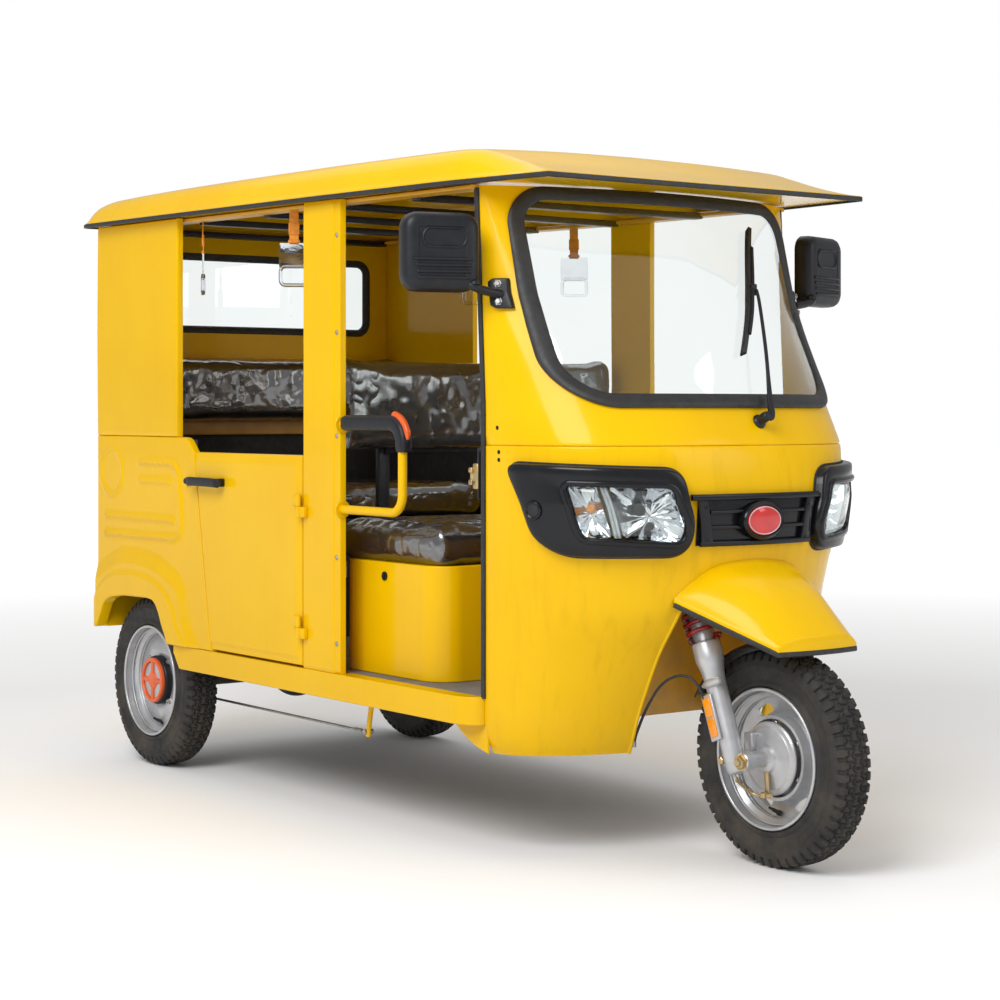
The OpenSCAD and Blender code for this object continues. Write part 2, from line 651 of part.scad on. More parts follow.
module rear_backrest() {
  x = rear + panel + fit;
  color("black") {
    translate([x + 20, 20 - inner, belt + 42]) rotate([90, 0, 90]) round_box(2 * inner - 40, 214, 92, 34);
    translate([x, 2 - inner, belt + 10]) cube([20.5, 2 * inner - 4, 238]);
  }
}

module rear_axle() {
  y = track / 2;
  color("dimgray") translate([ax, 0, tyre_r]) {
    rotate([90, 0, 0]) cylinder(d = 60, h = track - 130, center = true);
    sphere(88);
    rotate([0, 90, 0]) cylinder(d1 = 120, d2 = 60, h = 150);
    bar([140, 0, 0], [1050, 0, floor_z - rail_h - floor_t - 26 - tyre_r], 22);
    translate([1050, 0, floor_z - rail_h - floor_t - 26 - tyre_r]) cylinder(r = 24, h = 26 - fit);
    for (s = [-1, 1]) rotate([90 * s, 0, 0]) {
      cylinder(d = spindle_dia, h = y + 26);
      translate([0, 0, y - 66]) cylinder(d = 230, h = 8);
    }
    for (s = [-1, 1]) translate([-30, s * spring_y - 25, 20]) cube([60, 50, 18]);
  }
}

// Half length of each spring leaf, longest lowest
leaves = [272, 190, 110];
leaf_t = 7;
spring_w = 44;

module leaf_springs() {
  z = tyre_r + 38 + fit;
  top = floor_z - floor_t - rail_h - 2 * fit;
  color("dimgray") for (s = [-1, 1]) translate([ax, s * spring_y + spring_w / 2, z]) {
    rotate([90, 0, 0]) linear_extrude(spring_w) for (k = [0:2]) polygon(concat(
      [for (t = [-1:0.1:1]) [t * leaves[k], leaf_t * k + 14 * pow(t * leaves[k] / leaves[0], 2)]],
      [for (t = [1:-0.1:-1]) [t * leaves[k], leaf_t * (k + 1) + 14 * pow(t * leaves[k] / leaves[0], 2)]]));
    for (x = [-1, 1]) translate([x * (leaves[0] - 14) - 12, -spring_w, 18])
      cube([24, spring_w, top - z - 18]);
  }
}

module wiper() {
  p = on_skin([[50, 674]], 1)[0];
  a = on_skin([[68, 696]], 34)[0];
  b = on_skin([[165, 1010]], 15)[0];
  c = on_skin([[165, 1010]], 32)[0];
  low = on_skin([[54, 842]], 15)[0];
  high = on_skin([[263, 1177]], 15)[0];
  color("black") {
    translate(p) rotate([0, 63, 0]) cylinder(r = 13, h = 36);
    bar(p + [26, 0, 12], a, 6);
    translate(a) cube(16, center = true);
    bar(a, c, 5);
    translate(c) cube(14, center = true);
    bar(c, b, 4);
    translate(b) cube(18, center = true);
    bar(low, lerp(b, low, 0.02), 6);
    bar(lerp(b, high, 0.02), high, 6);
  }
}

module mirror_arm(s) {
  c = [ax + 1730, -638, floor_z + 1085];
  base = skin([-74, 985], 12);
  elbow = [ax + 1772, -566, floor_z + 1000];
  color("black") on_side(s) {
    translate(c) rotate([0, 0, -17.5]) {
      rotate([90, 0, 90]) translate([0, 0, -26]) linear_extrude(52) round_square(194, 193, 34);
      translate([-32, 0, 0]) rotate([90, 0, 90]) linear_extrude(8) round_square(178, 178, 30);
    }
    slab([for (a = [-78.5:1.5:-69.5]) [for (h = [949:19:1025]) skin([a, h], 16)]],
      [for (a = [-78.5:1.5:-69.5]) [for (h = [949:19:1025]) skin([a, h], seat)]]);
    bar(base, elbow, 11);
    translate(elbow) sphere(12.5);
    bar(elbow, c + [4, 50, -70], 11);
  }
}
module mirror_right() mirror_arm(0);
module mirror_left() mirror_arm(1);

module grab_straps() {
  color("orange") for (x = [ax + 298, ax + 820], s = [0, 1]) on_side(s) {
    translate([x - 13, rail_face + fit - inner, floor_z + 1170])
      cube([26, 4, roof_edge(x) - 8 - floor_z - 1170]);
    translate([x, rail_face + 6.5 - inner, floor_z + 1116]) rotate([90, 0, 0]) linear_extrude(5)
      difference() {
        round_square(64, 110, 8);
        translate([0, -36]) round_square(48, 24, 8);
      }
  }
}

module tail_lamps() {
  color("red") for (s = [-1, 1]) translate([rear - 24 - fit, s * (inner - 66) - 45, floor_z + 200])
    round_box(24, 90, 190, 10);
}

module brake_linkage() {
  p = [ax + 1150, -470, floor_z - sill_height - 92];
  color("gold") {
    bar(p + [24, 0, 92 + 20], p, 7);
    translate(p + [10, -18, 80]) cube([30, 36, sill_height + 12 - floor_t - 2 * fit]);
    bar(p + [0, 0, 4], [ax + 20, -390, tyre_r - 48], 4);
    translate([ax - 12, -398, tyre_r - 58]) cube([40, 16, 28 - fit]);
  }
}

// Points of one tyre section, half width against radius
tyre_section = [[0.4, 0], [0.5, 0.06], [0.5, 0.14], [0.42, 0.22], [0.46, 0.4], [0.5, 0.58], [0.49, 0.74],
  [0.45, 0.88], [0.4, 0.95], [0.3, 0.985], [0.15, 1]];
function tyre_edge(w, r0, r1) = [for (p = tyre_section) [lerp(r0, r1, p[1]), w * p[0]]];

module tyre(x, y) {
  e = tyre_edge(tyre_width, rim_dia / 2, tyre_r);
  color("black") translate([x, y, tyre_r]) rotate([90, 0, 0]) rotate_extrude($fn = 48)
    polygon(concat(e, rev([for (p = e) [p[0], -p[1]]])));
}

// Rim barrel about the wheel axis, then its disc from hub to barrel
module barrel() {
  r = rim_dia / 2 - fit;
  w = tyre_width / 2;
  rotate_extrude($fn = 64) polygon([[r, 0.4 * w], [r, 0.82 * w], [r, w + 1], [r - 4, w + 1],
    [r - 5, 0.85 * w],
    [r - 6, 0.5 * w], [r - 22, 0.3 * w], [r - 22, -0.3 * w], [r - 6, -0.5 * w], [r - 5, -0.85 * w],
    [r - 4, -w - 1], [r, -w - 1], [r, -0.82 * w], [r, -0.4 * w], [r - 17, -0.24 * w], [r - 17, 0.24 * w]]);
}

module rear_rim(y, s) {
  r = rim_dia / 2;
  color("silver") translate([ax, y, tyre_r]) rotate([s * 90, 0, 0]) difference() {
    union() {
      barrel();
      rotate_extrude($fn = 64) {
        polygon([[0, -14], [60, -14], [70, -3], [86, 9], [110, 9], [r - 21, -4], [r - 21, 3], [112, 16],
          [84, 16], [64, 6], [56, 6], [56, 40], [0, 40]]);
        translate([86, -40]) square([9, 50]);
      }
    }
    translate([0, 0, -60]) cylinder(d = spindle_dia + 2 * bearing_gap, h = 90);
  }
}
module rear_rim_right() rear_rim(-track / 2, 1);
module rear_rim_left() rear_rim(track / 2, -1);
module rear_tyre_right() tyre(ax, -track / 2);
module rear_tyre_left() tyre(ax, track / 2);
module front_tyre() tyre(ax + wheelbase, 0);

module front_rim() {
  r = rim_dia / 2;
  color("silver") translate([ax + wheelbase, 0, tyre_r]) rotate([90, 0, 0]) difference() {
    union() {
      barrel();
      rotate_extrude($fn = 64) polygon([[0, -30], [28, -30], [28, -16], [94, -16], [98, -12], [112, -22],
        [r - 21, -6], [r - 21, 1], [112, -14], [102, -4], [102, 24], [94, 24], [94, -8], [28, -8], [28, 20],
        [0, 20]]);
    }
    for (a = [0:60:300]) rotate(a) {
      for (y = [-13, 13]) translate([123, y, -40]) cylinder(r = 12, h = 60);
      translate([111, -13, -40]) cube([24, 26, 60]);
    }
    translate([0, 0, -60]) cylinder(d = axle_dia + 2 * bearing_gap, h = 120);
  }
}

module fork() {
  wheel = [fork_lead * cos(rake), 0, -fork_lead * sin(rake)];
  y = fork_spread / 2;
  r = leg_dia / 2;
  color("silver") translate([axis_x, 0, tyre_r]) rotate([0, -rake, 0]) {
    for (s = [-1, 1]) {
      translate([0, s * y, 0]) rotate_extrude() polygon([[0, -34], [r, -34], [r, 256], [r + 9, 270],
        [r + 9, 330], [r - 6, 330], [r - 6, 370], [0, 370]]);
      translate(wheel + [0, s * (y + 12), 0]) rotate([90, 0, 0])
        cylinder(d = axle_dia + 24, h = 30, center = true);
      translate([0, s * y - 11, wheel[2] - 15]) cube([wheel[0], 22, 30]);
    }
    translate([0, 0, 352]) linear_extrude(30) {
      square([leg_dia - 2, fork_spread], center = true);
      for (s = [-1, 1]) translate([0, s * y]) circle(d = leg_dia + 10);
    }
    translate([0, 0, 360]) cylinder(d = stem_dia, h = 898 - 360);
    translate(wheel) rotate([90, 0, 0]) {
      cylinder(d = axle_dia, h = fork_spread + 20, center = true);
      translate([0, 0, 32]) cylinder(r = 86, h = 6);
      translate([0, 0, 38]) cylinder(r = 34, h = y - 48);
    }
    translate([wheel[0] - 30, -44, wheel[2] + 40]) rotate([0, -20, 0]) cube([20, 9, 40]);
  }
}

module handlebar() {
  h = 900 - 12;
  color("black") translate([axis_x, 0, tyre_r]) rotate([0, -rake, 0]) {
    difference() {
      translate([0, 0, h - 22]) cylinder(d = stem_dia + 24, h = 44);
      translate([0, 0, h - 30]) cylinder(d = stem_dia + 2 * fit, h = 42);
    }
    for (s = [-1, 1]) {
      bar([-stem_dia / 2 - 13, s * 6, h], [-30, s * 130, h + 30], 11);
      bar([-30, s * 130, h + 30], [-74, s * 190, h + 34], 11);
      translate([-30, s * 130, h + 30]) sphere(12.5);
      translate([-74, s * 190, h + 34]) sphere(18);
      bar([-74, s * 190, h + 34], [-130, s * 300, h + 26], 16);
    }
  }
}

module door(s) {
  x0 = ax + door_x + door_gap;
  x1 = pillar_rear - door_gap;
  z0 = floor_z + door_gap;
  z1 = floor_z + door_h;
  color("gold") on_side(s) {
    side_plate(half, panel) polygon([[x0 + 4, z1], [x1, z1], [x1, z0], [x0 + door_lean, z0]]);
    for (h = hinge_heights) translate([hinge_x, -hinge_y, floor_z + h]) difference() {
      union() {
        cylinder(r = knuckle_r, h = knuckle_h);
        translate([-30, -4, 0]) cube([28, 17.5, knuckle_h]);
      }
      translate([0, 0, -1]) cylinder(d = hinge_pin + 2 * bearing_gap, h = knuckle_h + 2);
    }
    translate([x0 + 6, -half - 34, z1 - 86]) cube([190, 14, 22]);
    for (x = [14, 160]) translate([x0 + 6 + x, -half - 22, z1 - 86]) cube([20, 22.5, 22]);
  }
}
module door_right() door(0);
module door_left() door(1);

chassis_frame();
floor_pan();
sill_right();
sill_left();
rear_quarter_right();
rear_quarter_left();
rear_upper_right();
rear_upper_left();
middle_pillar_right();
middle_pillar_left();
rear_wall();
rear_window();
roof();
roof_frame();
cowl_lower();
cowl_upper();
windshield();
lamp_bezel_right();
lamp_bezel_left();
headlamp_right();
headlamp_left();
front_grille();
front_fender();
front_bulkhead();
dash_shelf();
seat_box();
driver_cushion();
driver_backrest();
arm_rail_right();
arm_rail_left();
arm_pad_right();
arm_pad_left();
bench_base();
rear_cushion();
rear_backrest();
rear_axle();
leaf_springs();
engine_block();
wiper();
mirror_right();
mirror_left();
grab_straps();
tail_lamps();
brake_linkage();
fork();
handlebar();
front_rim();
front_tyre();
rear_rim_right();
rear_tyre_right();
rear_rim_left();
rear_tyre_left();
door_right();
door_left();
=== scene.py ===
import math
import bmesh
import bpy
import numpy as np
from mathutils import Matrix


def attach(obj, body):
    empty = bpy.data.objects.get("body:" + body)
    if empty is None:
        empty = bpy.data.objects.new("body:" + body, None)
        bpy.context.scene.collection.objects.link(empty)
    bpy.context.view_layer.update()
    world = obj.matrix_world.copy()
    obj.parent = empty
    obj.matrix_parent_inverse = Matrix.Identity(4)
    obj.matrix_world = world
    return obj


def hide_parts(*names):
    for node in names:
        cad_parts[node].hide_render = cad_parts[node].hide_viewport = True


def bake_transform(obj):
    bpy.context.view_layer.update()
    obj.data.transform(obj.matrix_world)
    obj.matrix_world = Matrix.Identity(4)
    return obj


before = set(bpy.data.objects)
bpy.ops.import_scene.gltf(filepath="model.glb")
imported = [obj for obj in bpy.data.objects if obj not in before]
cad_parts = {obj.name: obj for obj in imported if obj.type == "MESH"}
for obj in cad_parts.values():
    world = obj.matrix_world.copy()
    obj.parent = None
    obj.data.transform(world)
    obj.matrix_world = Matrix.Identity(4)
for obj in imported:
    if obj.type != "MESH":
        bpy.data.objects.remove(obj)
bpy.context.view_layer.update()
up = (0, 0, 1)

# Camera and studio come first. Shapes below are worked out in millimetres, +X forward, +Y left, +Z up.
camera = {"spot": (4.9713, -3.6435, 1.0895), "azimuth": 53.6301, "lens": 78.43, "sensor": 36, "shiftY": -0.0885}
studio = {"floor": (0.94, 0.94, 0.94), "floorHalf": 40, "floorDrop": 0.001, "sky": 0.5, "aim": (0.2, 0, 0.8),
          "lights": {"keySoft": {"spot": (2.5, -4.5, 4.6), "size": 3.2, "power": 285},
                     "fillSoft": {"spot": (5.5, 2.5, 3.2), "size": 3.0, "power": 62},
                     "topSoft": {"spot": (-1.5, 0.5, 5.5), "size": 6.0, "power": 80}},
          "glow": {"near": 3, "far": 10, "most": 0.7}}


def setStage():
    # the photo's camera, then area lights turned to face the aim, the backdrop and the floor
    scene = bpy.context.scene
    scene.view_settings.view_transform = "Standard"
    lens = bpy.data.cameras.new("photoCamera")
    lens.lens, lens.sensor_width, lens.shift_y = camera["lens"], camera["sensor"], camera["shiftY"]
    eye = bpy.data.objects.new("photoCamera", lens)
    eye.location = camera["spot"]
    eye.rotation_euler = (math.pi / 2, 0, math.radians(camera["azimuth"]))
    scene.collection.objects.link(eye)
    scene.camera = eye
    for name, row in studio["lights"].items():
        light = bpy.data.lights.new(name, "AREA")
        light.size, light.energy = row["size"], row["power"]
        lamp = bpy.data.objects.new(name, light)
        lamp.location = row["spot"]
        aim = np.array(studio["aim"]) - row["spot"]
        tilt = math.acos(-aim[2] / np.linalg.norm(aim))
        lamp.rotation_euler = (tilt, 0, math.atan2(aim[1], aim[0]) + 1.5 * math.pi)
        scene.collection.objects.link(lamp)
    setWorld(scene)
    setFloor(scene)


def setWorld(scene):
    # a white backdrop, dimmer as a source of light than it is to the eye
    scene.world = bpy.data.worlds.new("paleStudio")
    scene.world.use_nodes = True
    nodes, links = scene.world.node_tree.nodes, scene.world.node_tree.links
    path = nodes.new("ShaderNodeLightPath")
    seen = nodes.new("ShaderNodeMath")
    seen.operation = "MAXIMUM"
    strength = nodes.new("ShaderNodeMapRange")
    strength.inputs["To Min"].default_value = studio["sky"]
    strength.inputs["To Max"].default_value = 1
    links.new(path.outputs["Is Camera Ray"], seen.inputs[0])
    links.new(path.outputs["Is Transmission Ray"], seen.inputs[1])
    links.new(seen.outputs[0], strength.inputs["Value"])
    links.new(strength.outputs[0], nodes["Background"].inputs["Strength"])
    nodes["Background"].inputs["Color"].default_value = (1, 1, 1, 1)


def setFloor(scene):
    # far from the middle the paper glows, so that it meets the backdrop without a grey band
    half, low, glow = studio["floorHalf"], -studio["floorDrop"], studio["glow"]
    mesh = bpy.data.meshes.new("studioFloor")
    corners = [(-half, -half, low), (half, -half, low), (half, half, low), (-half, half, low)]
    mesh.from_pydata(corners, [], [(0, 1, 2, 3)])
    floor = bpy.data.objects.new("studioFloor", mesh)
    scene.collection.objects.link(floor)
    paper = surface("palePaper", studio["floor"], studio["floor"], rough=(0.9, 0.95))
    far = addNode(paper, "ShaderNodeVectorMath", operation="LENGTH")
    link(paper, addNode(paper, "ShaderNodeTexCoord").outputs["Object"], far.inputs[0])
    shader = paper.node_tree.nodes["Principled BSDF"]
    bright = ranged(paper, far.outputs["Value"], glow["near"], glow["far"], 0, glow["most"])
    link(paper, bright, shader.inputs["Emission Strength"])
    shader.inputs["Emission Color"].default_value = (1, 1, 1, 1)
    mesh.materials.append(paper)


# Materials: every finish is a base colour that drifts between two tones, roughness that drifts, and a fine bump.
def link(material, source, target):
    material.node_tree.links.new(source, target)


def addNode(material, kind, **values):
    # a shader node with its settings or input sockets set by name
    node = material.node_tree.nodes.new(kind)
    for key, value in values.items():
        if hasattr(node, key):
            setattr(node, key, value)
        else:
            node.inputs[key.replace("_", " ")].default_value = value
    return node


def noiseOf(material, scale, detail=4.0, stretch=(1, 1, 1)):
    # noise over the object's own coordinates, stretched by a mapping
    coords = addNode(material, "ShaderNodeTexCoord")
    mapping = addNode(material, "ShaderNodeMapping")
    mapping.inputs["Scale"].default_value = stretch
    noise = addNode(material, "ShaderNodeTexNoise", Scale=scale, Detail=detail, Roughness=0.55)
    link(material, coords.outputs["Object"], mapping.inputs["Vector"])
    link(material, mapping.outputs[0], noise.inputs["Vector"])
    return noise.outputs["Fac"]


def ranged(material, value, lowIn, highIn, lowOut, highOut):
    # a value moved in a straight line from one range to another
    node = addNode(material, "ShaderNodeMapRange")
    for key, number in zip(("From Min", "From Max", "To Min", "To Max"), (lowIn, highIn, lowOut, highOut)):
        node.inputs[key].default_value = number
    link(material, value, node.inputs["Value"])
    return node.outputs[0]


def mixed(material, share, first, second):
    # colour between two tones, each a tuple or a socket
    node = addNode(material, "ShaderNodeMix")
    node.data_type = "RGBA"
    sockets = [s for s in node.inputs if s.type == "RGBA"]
    factor = [s for s in node.inputs if s.name == "Factor" and s.type == "VALUE"][0]
    link(material, share, factor)
    for socket, tone in zip(sockets, (first, second)):
        if isinstance(tone, tuple):
            socket.default_value = (*tone, 1)
        else:
            link(material, tone, socket)
    return [s for s in node.outputs if s.type == "RGBA"][0]


dust = {"tone": (0.2, 0.15, 0.1), "low": 0.15, "grain": 11}
rain = {"grain": 9, "stretch": (4, 4, 0.25), "dark": 0.45}


def surface(name, light, dark, grain=6.0, rough=(0.35, 0.5), bump=None, metal=0.0, coat=0.0, dirt=None, streaks=0.0,
            creased=False, **sockets):
    # tones and roughness mixed by noise, then streaks, dust and bump where they are given
    material = bpy.data.materials.new(name)
    material.use_nodes = True
    shader = material.node_tree.nodes["Principled BSDF"]
    tone = mixed(material, ranged(material, noiseOf(material, grain), 0.35, 0.65, 0, 1), light, dark)
    if streaks:  # rain marks that run down the panel
        mark = ranged(material, noiseOf(material, rain["grain"], 6, rain["stretch"]), 0.52, 0.75, 0, streaks)
        tone = mixed(material, mark, tone, tuple(rain["dark"] * c for c in dark))
    if dirt:  # road dust: the height at which it is gone and its share near the ground
        coords = addNode(material, "ShaderNodeTexCoord")
        split = addNode(material, "ShaderNodeSeparateXYZ")
        link(material, coords.outputs["Object"], split.inputs[0])
        fade = ranged(material, split.outputs["Z"], dust["low"], dirt[0], dirt[1], 0)
        patch = addNode(material, "ShaderNodeMath", operation="MULTIPLY")
        link(material, fade, patch.inputs[0])
        link(material, ranged(material, noiseOf(material, dust["grain"], 8), 0.4, 0.7, 0, 1), patch.inputs[1])
        tone = mixed(material, patch.outputs[0], tone, dust["tone"])
    link(material, tone, shader.inputs["Base Color"])
    link(material, ranged(material, noiseOf(material, grain * 2.3), 0.3, 0.7, *rough), shader.inputs["Roughness"])
    shader.inputs["Metallic"].default_value = metal
    shader.inputs["Coat Weight"].default_value = coat
    for key, value in sockets.items():
        shader.inputs[key.replace("_", " ")].default_value = value
    if bump:  # scale, strength and distance
        node = addNode(material, "ShaderNodeBump", Strength=bump[1], Distance=bump[2])
        height = noiseOf(material, bump[0], 3)
        if creased:  # folds: the noise turned up where it crosses its middle
            fold = addNode(material, "ShaderNodeMath", operation="SUBTRACT")
            fold.inputs[1].default_value = 0.5
            keen = addNode(material, "ShaderNodeMath", operation="ABSOLUTE")
            link(material, height, fold.inputs[0])
            link(material, fold.outputs[0], keen.inputs[0])
            height = keen.outputs[0]
        link(material, height, node.inputs["Height"])
        link(material, node.outputs[0], shader.inputs["Coat Normal" if creased else "Normal"])
    return material


def yellow(name, streaks):
    # the body's paint with a thin clear coat and a share of rain streaks
    return surface(name, (0.785, 0.465, 0.0015), (0.745, 0.43, 0.001), 2.2, (0.16, 0.24), (420, 0.04, 0.0004),
                   coat=0.15, dirt=(0.4, 0.15), streaks=streaks, Coat_Roughness=0.05, Specular_IOR_Level=0.1)


# each row: light and dark tone, grain, roughness range, bump, then what is special
paint, frontPaint = yellow("yellowPaint", 0.04), yellow("frontYellow", 0.2)
# painted shade: a darker, browner copy of the body yellow for parts inside the cabin and under the roof, where shade
# falls
shadedInnerPaint = surface("shadedInnerYellow", (0.7, 0.36, 0.012), (0.6, 0.3, 0.01), 3, (0.3, 0.42), (300, 0.05, 0.0005),
                     dirt=(0.7, 0.75), streaks=0.1)
plastic = surface("blackPlastic", (0.012, 0.013, 0.017), (0.008, 0.009, 0.012), 30, (0.34, 0.46), (900, 0.18, 0.0004),
                  Specular_IOR_Level=0.3)
gloss = surface("glossBlack", (0.008, 0.0085, 0.011), (0.005, 0.0055, 0.007), 12, (0.16, 0.26), (500, 0.05, 0.0003),
                Specular_IOR_Level=0.3)
rubber = surface("sealRubber", (0.02, 0.02, 0.021), (0.012, 0.012, 0.013), 40, (0.45, 0.62), (260, 0.25, 0.0006))
tyreRubber = surface("tyreRubber", (0.02, 0.0195, 0.019), (0.012, 0.0115, 0.011), 25, (0.62, 0.82), (320, 0.3, 0.0008),
                     dirt=(0.5, 0.22))
silver = surface("silverPaint", (0.56, 0.57, 0.59), (0.47, 0.48, 0.5), 18, (0.28, 0.42), (800, 0.08, 0.0003),
                 metal=0.55, dirt=(0.75, 0.3))
chrome = surface("brightChrome", (0.82, 0.83, 0.86), (0.6, 0.61, 0.64), 12, (0.04, 0.09), (70, 0.15, 0.002), metal=1.0)
steel = surface("barSteel", (0.42, 0.42, 0.42), (0.3, 0.29, 0.28), 40, (0.3, 0.45), (700, 0.1, 0.0003), metal=0.9)
zinc = surface("goldZinc", (0.62, 0.45, 0.2), (0.42, 0.34, 0.2), 45, (0.28, 0.42), (600, 0.1, 0.0003), metal=0.9)
chassisBlack = surface("chassisBlack", (0.03, 0.03, 0.03), (0.018, 0.017, 0.016), 14, (0.5, 0.7), (220, 0.2, 0.0006),
                       dirt=(0.55, 0.6))
castIron = surface("castIron", (0.22, 0.22, 0.21), (0.13, 0.125, 0.12), 20, (0.5, 0.7), (320, 0.4, 0.0012), metal=0.6)
wrapped = surface("wrappedVinyl", (0.02, 0.02, 0.022), (0.012, 0.012, 0.013), 16, (0.3, 0.42), (4.4, 0.55, 0.06),
                  coat=1.0, creased=True, Coat_Roughness=0.13, Coat_IOR=2.2)
matGrey = surface("floorMat", (0.2, 0.2, 0.195), (0.13, 0.13, 0.125), 9, (0.6, 0.8), (420, 0.4, 0.001), dirt=(0.9, 0.4))
orange = surface("orangePlastic", (0.78, 0.12, 0.015), (0.66, 0.09, 0.012), 20, (0.25, 0.38), (700, 0.06, 0.0003))
webbing = surface("orangeWebbing", (0.8, 0.3, 0.02), (0.62, 0.2, 0.015), 60, (0.6, 0.75), (900, 0.5, 0.0008))
amber = surface("amberLens", (0.85, 0.3, 0.01), (0.75, 0.22, 0.008), 50, (0.12, 0.22), (500, 0.3, 0.0008), coat=0.5)
redLens = surface("redLens", (0.5, 0.01, 0.012), (0.38, 0.008, 0.01), 50, (0.1, 0.2), (420, 0.3, 0.0008), coat=0.5)
blankRed = surface("blankRed", (0.6, 0.015, 0.015), (0.5, 0.012, 0.012), 30, (0.12, 0.2), coat=0.7)
wood = surface("boardWood", (0.62, 0.33, 0.08), (0.5, 0.25, 0.06), 12, (0.45, 0.6), (90, 0.2, 0.0006))
lining = surface("blackLining", (0.018, 0.018, 0.019), (0.011, 0.011, 0.012), 22, (0.65, 0.85), (260, 0.4, 0.001))
glass = surface("clearGlass", (0.93, 0.97, 0.96), (0.9, 0.95, 0.94), 3, (0.0, 0.015), Transmission_Weight=1.0, IOR=1.45)
film = surface("clearPlastic", (0.9, 0.91, 0.93), (0.82, 0.83, 0.86), 14, (0.05, 0.14), (40, 0.3, 0.003),
               Transmission_Weight=1.0, IOR=1.3)
mirrorGlass = surface("mirrorGlass", (0.85, 0.87, 0.88), (0.8, 0.82, 0.84), 5, (0.02, 0.05), metal=1.0)


# Mesh parts: a part is an array of points and a list of faces.
def gridPart(points, wrapU=False, wrapV=False, capU=False):
    # quads between neighbours of an (n, m, 3) grid; a wrapped side meets itself, caps close the first and last rows
    n, m = points.shape[:2]
    i = np.arange(n if wrapU else n - 1)[:, None]
    j = np.arange(m if wrapV else m - 1)[None, :]
    after, beside = (i + 1) % n, (j + 1) % m
    faces = np.stack(np.broadcast_arrays(i * m + j, i * m + beside, after * m + beside, after * m + j), -1)
    faces = faces.reshape(-1, 4).tolist()
    if capU:
        faces += [list(range(m)), list(range((n - 1) * m, n * m))]
    return points.reshape(-1, 3), faces


def shellPart(rows):
    # rows wrapped both ways
    return gridPart(np.asarray(rows), wrapU=True, wrapV=True)


def plugPart(rows):
    # rings closed by a cap at each end
    return gridPart(np.asarray(rows), wrapV=True, capU=True)


def unit(v):
    # vectors divided by their lengths
    return v / np.maximum(np.linalg.norm(v, axis=-1, keepdims=True), 1e-9)


def sweepPart(path, profile, closed=False, up=up, scale=None):
    # a flat profile carried along a path: across is square to the path and to up, rise is square to both
    path, profile = np.asarray(path, float), np.asarray(profile, float)
    if closed:
        along = unit(np.roll(path, -1, 0) - np.roll(path, 1, 0))
    else:
        along = unit(np.gradient(path, axis=0))
    across = unit(np.cross(along, np.asarray(up, float)))
    rise = np.cross(across, along)
    size = np.ones(len(path)) if scale is None else np.asarray(scale, float)
    flat = profile[None, :, :1] * across[:, None] + profile[None, :, 1:] * rise[:, None]
    return gridPart(path[:, None] + size[:, None, None] * flat, wrapU=closed, wrapV=True, capU=not closed)


def circle(radius, steps=16):
    # cosine and sine of equal angles times the radius
    angle = np.arange(steps) * 2 * np.pi / steps
    return np.stack([radius * np.cos(angle), radius * np.sin(angle)], -1)


def roundRect(width, height, radius, steps=5):
    # corner arcs joined by straight sides
    angle = np.concatenate([np.linspace(0, np.pi / 2, steps) + k * np.pi / 2 for k in range(4)])
    corner = np.repeat(np.array([[1, 1], [-1, 1], [-1, -1], [1, -1]]), steps, 0)
    middle = corner * (width / 2 - radius, height / 2 - radius)
    return middle + radius * np.stack([np.cos(angle), np.sin(angle)], -1)


def smoothPath(points, steps=10, closed=False):
    # a cubic between each pair of points, its slopes those of the lines between their neighbours
    p = np.asarray(points, float)
    n = len(p)
    rows = np.arange(n if closed else n - 1)
    pick = (lambda k: p[k % n]) if closed else (lambda k: p[np.clip(k, 0, n - 1)])
    a, b, c, d = (pick(rows + k)[:, None] for k in (-1, 0, 1, 2))
    t = (np.arange(steps) / steps)[None, :, None]
    curve = 0.5 * (2 * b + (c - a) * t + (2 * a - 5 * b + 4 * c - d) * t ** 2 + (3 * b - a - 3 * c + d) * t ** 3)
    curve = curve.reshape(-1, p.shape[1])
    return curve if closed else np.vstack([curve, p[-1:]])


def spread(path, shares):
    # points at the given shares of a path's length
    path = np.asarray(path, float)
    run = np.concatenate([[0], np.cumsum(np.linalg.norm(np.diff(path, axis=0), axis=1))])
    return np.stack([np.interp(np.asarray(shares) * run[-1], run, path[:, k]) for k in range(path.shape[1])], -1)


def evenLoop(outline, count):
    # a closed outline as points at equal steps
    return spread(np.vstack([outline, outline[:1]]), np.linspace(0, 1, count + 1)[:-1])


def tubePart(points, radius, steps=12, smooth=0, closed=False, up=up):
    # a circle carried along a path, which may be smoothed first
    path = smoothPath(points, smooth, closed) if smooth else np.asarray(points, float)
    return sweepPart(path, circle(radius, steps), closed, up)


def basis(axis):
    # three square directions, the last along the axis
    z = unit(np.asarray(axis, float))
    x = unit(np.cross(up if abs(z[2]) < 0.9 else (1, 0, 0), z))
    return np.stack([x, np.cross(z, x), z])


def turned(profile, centre, axis, steps):
    # rings of pairs of radius and distance turned round the axis
    profile = np.asarray(profile, float)
    x, y, z = basis(axis)
    angle = np.arange(steps) * 2 * np.pi / steps
    spoke = np.cos(angle)[:, None] * x + np.sin(angle)[:, None] * y
    return np.asarray(centre, float) + profile[:, None, :1] * spoke[None] + profile[:, None, 1:] * z


def lathePart(profile, centre, axis=(0, 1, 0), steps=64):
    # a turned profile closed by caps
    return plugPart(turned(profile, centre, axis, steps))


def ringPart(profile, centre, axis, steps):
    # a turned profile that closes on itself
    return shellPart(turned(profile, centre, axis, steps))


